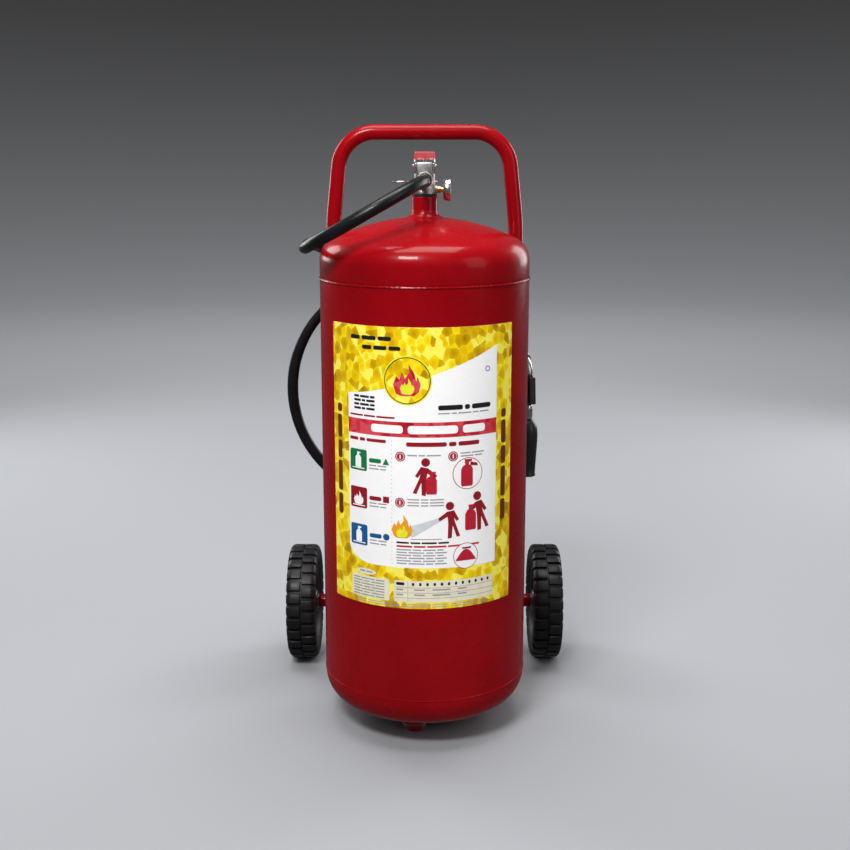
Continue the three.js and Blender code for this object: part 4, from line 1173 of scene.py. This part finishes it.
def add_gauge():
    case = [
        (0, 35), (15, 35), (17.5, 35.6), (19.6, 37.2), (21.0, 39.6), (21.5, 42.4), (20.7, 42.9), (20.7, 43.7),
        (21.5, 44.2), (21.5, 48.0), (21.2, 48.7), (20.4, 49), (18.7, 49), (18.5, 48.6), (18.5, 48.2),
        (19.9, 48.2), (19.9, 41), (0, 41),
    ]
    add_piece("gauge_bezel", lathe(case, 80, GAUGE_AXIS), CHROME, stands_for=["gauge_case"])
    stem = [
        (0, 14), (3.8, 14), (3.8, 24.3), (6.5, 24.3), (6.5, 30), (4.5, 30), (4.5, 34.65), (0, 34.65),
    ]
    add_piece("gauge_neck", lathe(stem, 40, GAUGE_AXIS), BRASS, stands_for=["gauge_stem"])
    bands = [("low", -45, 12, "red"), ("good", 12, 62, "green"), ("high", 62, 135, "red")]
    for name, start, end, ink in bands:
        add_piece(f"dial_band_{name}", dial_band(12.6, 16.6, start, end, 16), INKS[ink])
    ticks = []
    for i, angle in enumerate(range(-45, 136, 15)):
        ticks.append(dial_band(16.9, 18.6 if i % 2 else 17.9, angle - 0.9, angle + 0.9, 1))
    add_piece("dial_ticks", joined(*ticks), INKS["black"])
    hub = [(0, 42.8), (2.6, 42.8), (2.6, 44.2), (2.0, 44.7), (0, 44.7)]
    add_piece("needle_hub", lathe(hub, 28, GAUGE_AXIS), INKS["black"], "needle")


add_gauge()


# ---------- nozzle ----------
def add_nozzle():
    horn = [
        (0, 593.65), (9.0, 593.65), (9.9, 593.1), (12.4, 590.7), (15.2, 587.6), (18.0, 582.5), (20.0, 576.5),
        (21.1, 570), (21.5, 562), (21.1, 548), (20.4, 534), (19.5, 520), (18.3, 498), (17.3, 481.5),
        (18.0, 480.4), (18.0, 477.0), (17.3, 476.0), (15.0, 476.0), (14.5, 476.8), (15.6, 498), (17.0, 520),
        (17.9, 540), (18.5, 560), (17.6, 568), (15.6, 573.6), (13.0, 576.6), (7.0, 579.4), (0, 580),
    ]
    add_piece(
        "horn_bell", lathe(horn, 80, NOZZLE_PLACE), BLACK_PLASTIC, stands_for=["discharge_horn"],
    )
    coupling = [
        (0, 594), (8.2, 594), (9.6, 595.2), (9.6, 601), (8.6, 602), (8.6, 613.5), (9.6, 614.5),
        (9.6, 621.6), (8.6, 622.9), (0, 622.9),
    ]
    add_piece(
        "coupling_sleeve", lathe(coupling, 56, NOZZLE_PLACE), CHROME, stands_for=["nozzle_coupling"],
    )
    add_nozzle_grip()
    add_nozzle_inlet()


def add_nozzle_grip():
    grip = [(0, 623.3), (9.3, 623.3), (10.1, 624.6), (10.5, 627.0)]
    grip += grooves(10.5, 0.6, 633, 4.6, (0, 0.7, 1.5, 2.2), 8)
    grip += [(10.5, 680), (10.1, 683.4), (9.3, 685.6), (8.6, 686), (0, 686)]
    lug_block = rounded_block((-3, -17, 671), (3, -6, 681), NOZZLE_PLACE, 1.2)
    hole = pipe(1.85, -8, 8, axis_place((0, -14.5, 676), (1, 0, 0), NOZZLE_PLACE), 24)
    barrel = joined(lathe(grip, 64, NOZZLE_PLACE), carved([lug_block], [hole]))
    add_piece("grip_barrel", barrel, BLACK_PLASTIC, stands_for=["nozzle_grip"])


def add_nozzle_inlet():
    """The bent pipe above the grip and the collar where the hose ends."""
    bend = []
    for i in range(17):
        angle = ELBOW_ANGLE * i / 16
        forward = ELBOW_R * (1 - math.cos(angle))
        bend.append(NOZZLE_PLACE @ Vector((0, forward, ELBOW_BASE_Z + ELBOW_R * math.sin(angle))))
    add_piece("elbow_pipe", sweep(bend, 0.0095, 40), CHROME, stands_for=["nozzle_elbow"])
    collar = [(0, 0.35), (12.2, 0.35), (13.2, 1.5), (13.2, 5.0)]
    collar += grooves(13.2, 0.7, 6.5, 4.6, (0, 0.9, 2.0, 2.9), 4)
    collar += [(13.2, 29.0), (12.4, 30), (0, 30)]
    way = (0, math.sin(ELBOW_ANGLE), math.cos(ELBOW_ANGLE))
    ferrule = lathe(collar, 56, axis_place(elbow_end(0), way, NOZZLE_PLACE))
    add_piece("ferrule_at_nozzle", ferrule, STEEL, stands_for=["hose_ferrule_nozzle"])


add_nozzle()


# ---------- kept CAD nodes ----------
DRESSED = [
    ("neck_gasket", GASKET_RUBBER, 0.4), ("dip_tube", NYLON, 0), ("valve_stem", STEEL, 0.3),
    ("spring_seat", BRASS, 0), ("outlet_nut", NICKEL, 0.7), ("lever_pivot_pin", STEEL, 0.4),
    ("handle_rivet", STEEL, 0.4), ("safety_pin", STEEL, 0.5),
    ("gauge_dial", INKS["white"], 0), ("gauge_needle", NEEDLE_RED, 0.1), ("gauge_lens", LENS, 0.3),
    ("nozzle_lever", BLACK_PLASTIC, 0.9), ("nozzle_lever_pin", STEEL, 0.3), ("nozzle_clip", STEEL, 0.4),
    ("hose_rack", RED, 0.8),
]
for side_name, side_sign in SIDES:
    DRESSED += [(f"handle_gusset_{side_name}_{level}", RED, 0.8) for level, height in GUSSET_LEVELS]
    DRESSED += [
        (f"wheel_bush_{side_name}", NYLON, 0.4), (f"washer_inner_{side_name}", STEEL, 0.3),
        (f"washer_outer_{side_name}", STEEL, 0.3),
    ]
for node_name, finish, edge_width in DRESSED:
    dress(node_name, finish, edge_width)


# ---------- instruction label ----------
class LabelSheet:
    """Flat shapes bent round the vessel; u runs in millimetres from the left edge, v down from the top."""

    def __init__(self):
        self.vertices = []
        self.faces = []
        self.inks = []
        self.names = list(INKS)

    def bend(self, u, v, radius):
        angle = math.radians(LABEL_START_DEG + u / LABEL_MM_PER_DEG)
        return PLACE @ Vector((radius * math.sin(angle), -radius * math.cos(angle), LABEL_TOP_Z - v))

    def shape(self, ink, outline, layer=1):
        flat = [Vector((u, v, 0)) for u, v in outline]
        radius = LABEL_R + LAYER * layer
        for triangle in tessellate_polygon([flat]):
            corners = [tuple(flat[i][:2]) for i in triangle]
            turn = (corners[1][0] - corners[0][0]) * (corners[2][1] - corners[0][1])
            turn -= (corners[1][1] - corners[0][1]) * (corners[2][0] - corners[0][0])
            if abs(turn) < 1e-9:
                continue
            if turn > 0:
                corners.reverse()
            first = math.floor(min(c[0] for c in corners) / STRIP)
            last = math.ceil(max(c[0] for c in corners) / STRIP)
            for i in range(first, last):
                piece = clip(clip(corners, i * STRIP, 1), (i + 1) * STRIP, -1)
                if len(piece) > 2:
                    self.add(ink, [self.bend(u, v, radius) for u, v in piece])

    def add(self, ink, corners):
        start = len(self.vertices)
        self.vertices += corners
        self.faces.append(list(range(start, start + len(corners))))
        self.inks.append(self.names.index(ink))

    def skirt(self, ink, outline, low, high):
        """The cut edge of the film, between two radii."""
        for a, b in zip(outline, outline[1:] + outline[:1]):
            count = max(1, math.ceil(abs(b[0] - a[0]) / STRIP))
            for i in range(count):
                start = [a[k] + (b[k] - a[k]) * i / count for k in (0, 1)]
                end = [a[k] + (b[k] - a[k]) * (i + 1) / count for k in (0, 1)]
                corners = [(start, low), (end, low), (end, high), (start, high)]
                self.add(ink, [self.bend(*place, radius) for place, radius in corners])

    def bar(self, ink, u, v, width, height, layer=2):
        self.shape(ink, rectangle(u, v, width, height), layer)

    def panel(self, ink, u, v, width, height, corner, steps, layer):
        self.shape(ink, rounded(rectangle(u, v, width, height), [corner] * 4, steps), layer)

    def pill(self, ink, u, v, width, height, layer=2):
        self.panel(ink, u, v, width, height, 0.42 * min(width, height), 3, layer)

    def words(self, ink, u, v, widths, height, layer=2, gap=2.6):
        """A line of text, drawn only as plain rounded bars."""
        for width in widths:
            self.pill(ink, u, v, width, height, layer)
            u += width + gap

    def column(self, ink, u, v, heights, width, layer=2, gap=5.0):
        for height in heights:
            self.pill(ink, u, v, width, height, layer)
            v += height + gap

    def disc(self, ink, u, v, radius, layer=2, sides=40):
        turn = [2 * math.pi * i / sides for i in range(sides)]
        self.shape(ink, [(u + radius * math.cos(a), v + radius * math.sin(a)) for a in turn], layer)

    def blob(self, ink, u, v, scale, points, layer=3, lean=0.0):
        """A small drawn shape; its points are in its own units, y upward from (u, v)."""
        cos, sin = scale * math.cos(lean), scale * math.sin(lean)
        self.shape(ink, [(u + x * cos - y * sin, v - x * sin - y * cos) for x, y in points], layer)

    def person(self, ink, u, v, scale, facing=1, lean=0.0):
        """A plain standing figure with one arm forward: v is the ground under its feet."""
        turned = [(facing * x, y) for x, y in FIGURE]
        self.blob(ink, u, v, scale, turned, 3, -facing * lean)
        height = 8.8 * scale
        self.disc(ink, u + facing * height * math.sin(lean), v - height * math.cos(lean), 1.15 * scale, 3, 16)

    def bottle(self, ink, u, v, scale, layer=3):
        self.blob(ink, u, v, scale, BOTTLE, layer)


FIGURE = [
    (-1.5, 0), (-0.5, 0), (0.1, 3.3), (0.9, 0), (2.0, 0), (1.2, 4.2), (1.1, 6.0), (3.4, 5.2), (3.7, 6.0),
    (1.0, 7.4), (-0.9, 7.4), (-1.9, 4.6), (-1.1, 4.3), (-0.6, 5.4), (-0.7, 4.0),
]
BOTTLE = [
    (-1.4, 0), (1.4, 0), (1.6, 0.5), (1.6, 4.3), (1.2, 5.1), (0.5, 5.5), (0.5, 6.1), (1.3, 6.3), (1.3, 6.9),
    (-0.7, 6.9), (-0.5, 5.5), (-1.2, 5.1), (-1.6, 4.3), (-1.6, 0.5),
]
FLAME = [
    (-2.2, 0.4), (-1.2, 0), (1.3, 0), (2.3, 0.8), (2.7, 2.3), (2.1, 3.8), (1.8, 2.9), (1.4, 4.6), (0.3, 6.3),
    (0.4, 4.6), (-0.4, 3.4), (-1.0, 4.8), (-1.5, 3.2), (-2.1, 3.9), (-2.8, 2.2),
]
MARGIN_WORDS = [16, 44, 34, 58, 40]


def rectangle(u, v, width, height):
    return [(u, v), (u + width, v), (u + width, v + height), (u, v + height)]


def clip(corners, limit, side):
    """The part of a convex polygon with u above (side 1) or below (side -1) a limit."""
    kept = []
    for a, b in zip(corners, corners[1:] + corners[:1]):
        inside_a = side * (a[0] - limit) >= 0
        inside_b = side * (b[0] - limit) >= 0
        if inside_a:
            kept.append(a)
        if inside_a != inside_b:
            t = (limit - a[0]) / (b[0] - a[0])
            kept.append((limit, a[1] + t * (b[1] - a[1])))
    return kept


def draw_label_ground(sheet):
    edge = rounded(rectangle(0, 0, LABEL_W, LABEL_H), [3] * 4, 4)
    sheet.shape("gold", edge, 0)
    sheet.skirt("white", edge[::-1], LABEL_BACK_R, LABEL_R)
    top = [(45 + 298 * i / 24, 126 - 90 * (i / 24) ** 1.45) for i in range(25)]
    turn = [math.radians(9 * i) for i in range(11)]
    corner = [(100 - 55 * math.sin(angle), 412 + 35 * math.cos(angle)) for angle in turn]
    sheet.shape("white", [*top, (343, 448), *corner], 1)
    sheet.words("black", 53, 18, [22, 30, 26], 7.5, 2, 4)
    sheet.words("black", 80, 35, [20, 26, 22], 7.5, 2, 4)
    sheet.column("brown", 13, 150, MARGIN_WORDS, 13, 1)
    sheet.column("brown", 356, 158, MARGIN_WORDS, 13, 1)
    for v in (517.5, 521.5):
        sheet.words("grey", 60, v, [24, 40, 18, 52, 30, 44, 26], 1.5, 1, 5)


def draw_label_heading(sheet):
    sheet.disc("lemon", 168, 96, 45, 2, 56)
    sheet.disc("black", 168, 96, 42.6, 3, 56)
    sheet.disc("gold", 168, 96, 41, 4, 56)
    sheet.blob("crimson", 168, 124, 9.2, FLAME, 5)
    sheet.blob("lemon", 168.6, 121, 4.8, FLAME, 6)
    for row in range(4):
        sheet.words("black", 60, 128 + 7.4 * row, [16, 8, 18] if row % 2 else [12, 20, 10], 4.2, 2, 2)
    sheet.words("dark_red", 50, 163.5, [30, 24, 36], 3.4, 2, 2.5)
    sheet.words("black", 224, 141, [46, 10, 40], 9, 2, 4)
    sheet.words("grey", 224, 155, [22, 10, 26, 12, 20], 2.4, 2, 2.5)
    sheet.disc("blue", 321, 79, 5.2, 2, 24)
    sheet.disc("white", 321, 79, 3.6, 3, 24)
    sheet.bar("crimson", 45, 172, 298, 28, 2)
    sheet.words("white", 98, 178.5, [62, 92, 46], 15, 3, 9)


def draw_fire_classes(sheet):
    sheet.words("dark_red", 49, 207, [20, 12, 40], 6, 2, 3.5)
    for i in range(30):
        sheet.disc("grey", 138.6, 208 + 8 * i, 0.8, 2, 10)
    for i, (ink, icon) in enumerate((("green", BOTTLE), ("dark_red", FLAME), ("blue", BOTTLE))):
        v = 230 + 71.5 * i
        sheet.panel(ink, 49, v, 39, 40, 4, 4, 2)
        sheet.blob("white", 68.5, v + 34, 4.2, icon, 3)
        sheet.bar("white", 54, v + 34.5, 29, 1.8, 3)
        sheet.words(ink, 93, v + 14, [25], 8, 2)
        badge = {
            "green": [(121, v + 24), (127.5, v + 11), (134, v + 24)],
            "dark_red": rectangle(121.5, v + 12, 12, 12),
        }.get(ink)
        if badge:
            sheet.shape(ink, badge, 2)
        else:
            sheet.disc(ink, 127.5, v + 18, 6.4, 2, 28)
        sheet.words("grey", 93, v + 26, [15, 18], 2.4)
        sheet.words("grey", 93, v + 32, [20, 12], 2.4)


def draw_steps(sheet):
    sheet.words("dark_red", 166, 209, [74, 14, 42], 8, 2, 4)
    for u, v in ((155, 236), (252, 236), (154, 322.6)):
        sheet.disc("dark_red", u, v, 9.3, 2)
        sheet.disc("white", u, v, 7.4, 3)
        sheet.disc("red", u, v, 6.6, 4)
        sheet.bar("white", u - 1.1, v - 3.6, 2.2, 7.2, 5)
    sheet.words("grey", 168, 232, [18, 12, 26], 2.6, 2)
    sheet.words("grey", 266, 230, [20, 26], 2.4, 2)
    sheet.words("grey", 266, 235.5, [26, 16], 2.4, 2)
    for row in range(3):
        sheet.words("grey", 168, 315 + 5.6 * row, [22, 14, 26], 2.4, 2)
    sheet.person("dark_red", 188, 306, 7.0, 1, 0.22)
    sheet.bottle("red", 212, 306, 6.2, 4)
    sheet.disc("red", 281, 270, 30, 2, 48)
    sheet.disc("white", 281, 270, 28.6, 3, 48)
    sheet.bottle("red", 279, 294, 7.4, 4)
    sheet.shape("dark_red", [(286, 248), (300, 252), (301, 257), (285, 255)], 4)
    sheet.blob("orange", 158, 390, 7.2, FLAME, 3)
    sheet.blob("lemon", 158, 389, 4.0, FLAME, 4)
    sheet.shape("mist", [(168, 380), (176, 366), (236, 348), (236, 353), (178, 388)], 2)
    sheet.person("dark_red", 256, 389, 6.9, -1, 0.16)
    sheet.bottle("red", 287, 378, 7.0, 4)
    sheet.person("dark_red", 316, 378, 7.4, -1, 0.24)
    sheet.bar("dark_red", 174, 391, 58, 1.2, 2)


def draw_label_foot(sheet):
    sheet.words("black", 147, 397, [24, 18, 28, 20], 3.4, 2)
    sheet.words("red", 147, 404, [30, 22, 36, 26, 34], 3.4, 2)
    for row in range(6):
        sheet.words("grey", 147, 411 + 5.3 * row, [20, 30, 14, 22] if row % 2 else [28, 16, 24, 12], 2.4, 2)
    sheet.disc("red", 278, 427, 25, 2, 44)
    sheet.disc("white", 278, 427, 23.8, 3, 44)
    dome = [(257 + 42 * i / 12, 436 - 22 * math.sin(math.pi * i / 12)) for i in range(13)]
    sheet.shape("red", dome, 4)
    sheet.bar("dark_red", 270, 410, 18, 3.2, 5)
    turn = [math.radians(10 * i) for i in range(36)]
    sheet.shape("cream", [(84 + 22 * math.cos(angle), 463 + 6 * math.sin(angle)) for angle in turn], 1)
    sheet.words("grey", 70, 461.6, [12, 14], 2.8, 2)
    sheet.panel("cream", 50, 472, 83, 42, 3, 3, 1)
    for row in range(7):
        sheet.words("grey", 54, 476 + 5.4 * row, [22, 14, 28] if row % 2 else [16, 30, 18], 2.2, 2)
    sheet.panel("cream", 142, 472, 196, 42, 3, 3, 1)
    for v in (485, 495, 505):
        sheet.bar("grey", 142, v, 196, 0.8, 2)
    sheet.bar("grey", 168, 472, 0.8, 42, 2)
    sheet.words("black", 146, 475.5, [16], 5.5, 2)
    for i in range(12):
        sheet.pill("black", 176 + 13.4 * i, 475.5, 4.5, 6, 3)
    for v in (488, 498):
        sheet.words("grey", 146, v, [14], 3, 2)
        sheet.words("grey", 180, v, [20, 34, 18], 2.6, 2, 14)


def add_label():
    sheet = LabelSheet()
    draw_label_ground(sheet)
    draw_label_heading(sheet)
    draw_fire_classes(sheet)
    draw_steps(sheet)
    draw_label_foot(sheet)
    shape = (sheet.vertices, sheet.faces, sheet.inks)
    inks = [INKS[name] for name in sheet.names]
    add_piece("printed_label", shape, inks, stands_for=["instruction_label"])


add_label()


# ---------- studio ----------
def add_light(name, place, aim, size, power, glossy=True):
    data = bpy.data.lights.new(name, "AREA")
    data.shape = "RECTANGLE"
    data.size, data.size_y = size
    data.energy = power
    light = bpy.data.objects.new(name, data)
    light.location = place
    light.rotation_euler = (Vector(aim) - Vector(place)).to_track_quat("-Z", "Y").to_euler()
    light.visible_glossy = glossy
    bpy.context.collection.objects.link(light)


def add_studio():
    world = bpy.data.worlds.new("studio")
    world.use_nodes = True
    background = world.node_tree.nodes["Background"]
    background.inputs["Color"].default_value = (0.62, 0.63, 0.66, 1)
    background.inputs["Strength"].default_value = 0.16
    scene = bpy.context.scene
    scene.world = world
    scene.view_settings.view_transform = "Standard"
    add_light("key", (-0.8, -2.3, 3.0), (0, 0, 0.85), (1.0, 0.6), 104)
    add_light("fill", (2.4, -1.7, 1.7), (0, 0, 0.5), (1.2, 2.0), 12)
    add_light("rear_left", (-2.3, 2.0, 1.7), (0, 0, 0.6), (1.2, 1.8), 42)
    add_light("rear_right", (2.3, 2.1, 1.5), (0, 0, 0.6), (1.2, 1.8), 36)
    add_light("top", (0.0, -0.2, 3.1), (0, -0.05, 0.8), (1.8, 1.3), 66)
    add_light("backdrop_rear", (0.0, 5.6, 5.0), (0, 6.2, 0), (12.0, 6.0), 690, glossy=False)
    add_light("backdrop_front", (0.0, -8.0, 5.0), (0, -8.6, 0), (12.0, 6.0), 260, glossy=False)


def add_floor():
    """A pale floor that curves up all round into a backdrop, with painted shade that greys it with distance
    from the object and a painted glow on its far part.
    """
    cove = arc(FLOOR_FLAT_R, COVE_R, COVE_R, -90, 0, 30)
    profile = [(0, 0)] + cove + [(FLOOR_FLAT_R + COVE_R, COVE_TOP_Z)]
    vertices, faces = lathe(profile, 96, Matrix())
    mesh = bpy.data.meshes.new("floor")
    mesh.from_pydata(vertices, [], faces)
    mesh.shade_smooth()
    floor = bpy.data.objects.new("floor", mesh)
    bpy.context.collection.objects.link(floor)
    paper = Paint("floor_paper", FLOOR_PALE, 0.85, Specular_IOR_Level=0.1)
    reach = paper.nodes.new("ShaderNodeVectorMath")
    reach.operation = "LENGTH"
    paper.links.new(paper.coordinates, reach.inputs[0])
    # Painted shade: the share of the way between the two falloff distances sets how far the colour is
    # darkened.
    share = paper.nodes.new("ShaderNodeMapRange")
    share.inputs["From Min"].default_value = PAINTED_FALLOFF_FROM
    share.inputs["From Max"].default_value = PAINTED_FALLOFF_TO
    paper.links.new(reach.outputs["Value"], share.inputs["Value"])
    paper.color_from(share.outputs["Result"], [(0.0, FLOOR_PALE), (1.0, FAR_FLOOR_PAINTED_SHADE)])
    # Painted glow: emission that grows with distance over the same falloff share.
    painted_glow = paper.ramp(share.outputs["Result"], [(0.0, (0, 0, 0)), (1.0, FAR_FLOOR_PAINTED_GLOW)])
    paper.links.new(painted_glow, paper.shader.inputs["Emission Color"])
    paper.shader.inputs["Emission Strength"].default_value = 1.0
    mesh.materials.append(paper.material)
    floor.visible_glossy = False


add_studio()
add_floor()

bpy.context.view_layer.update()
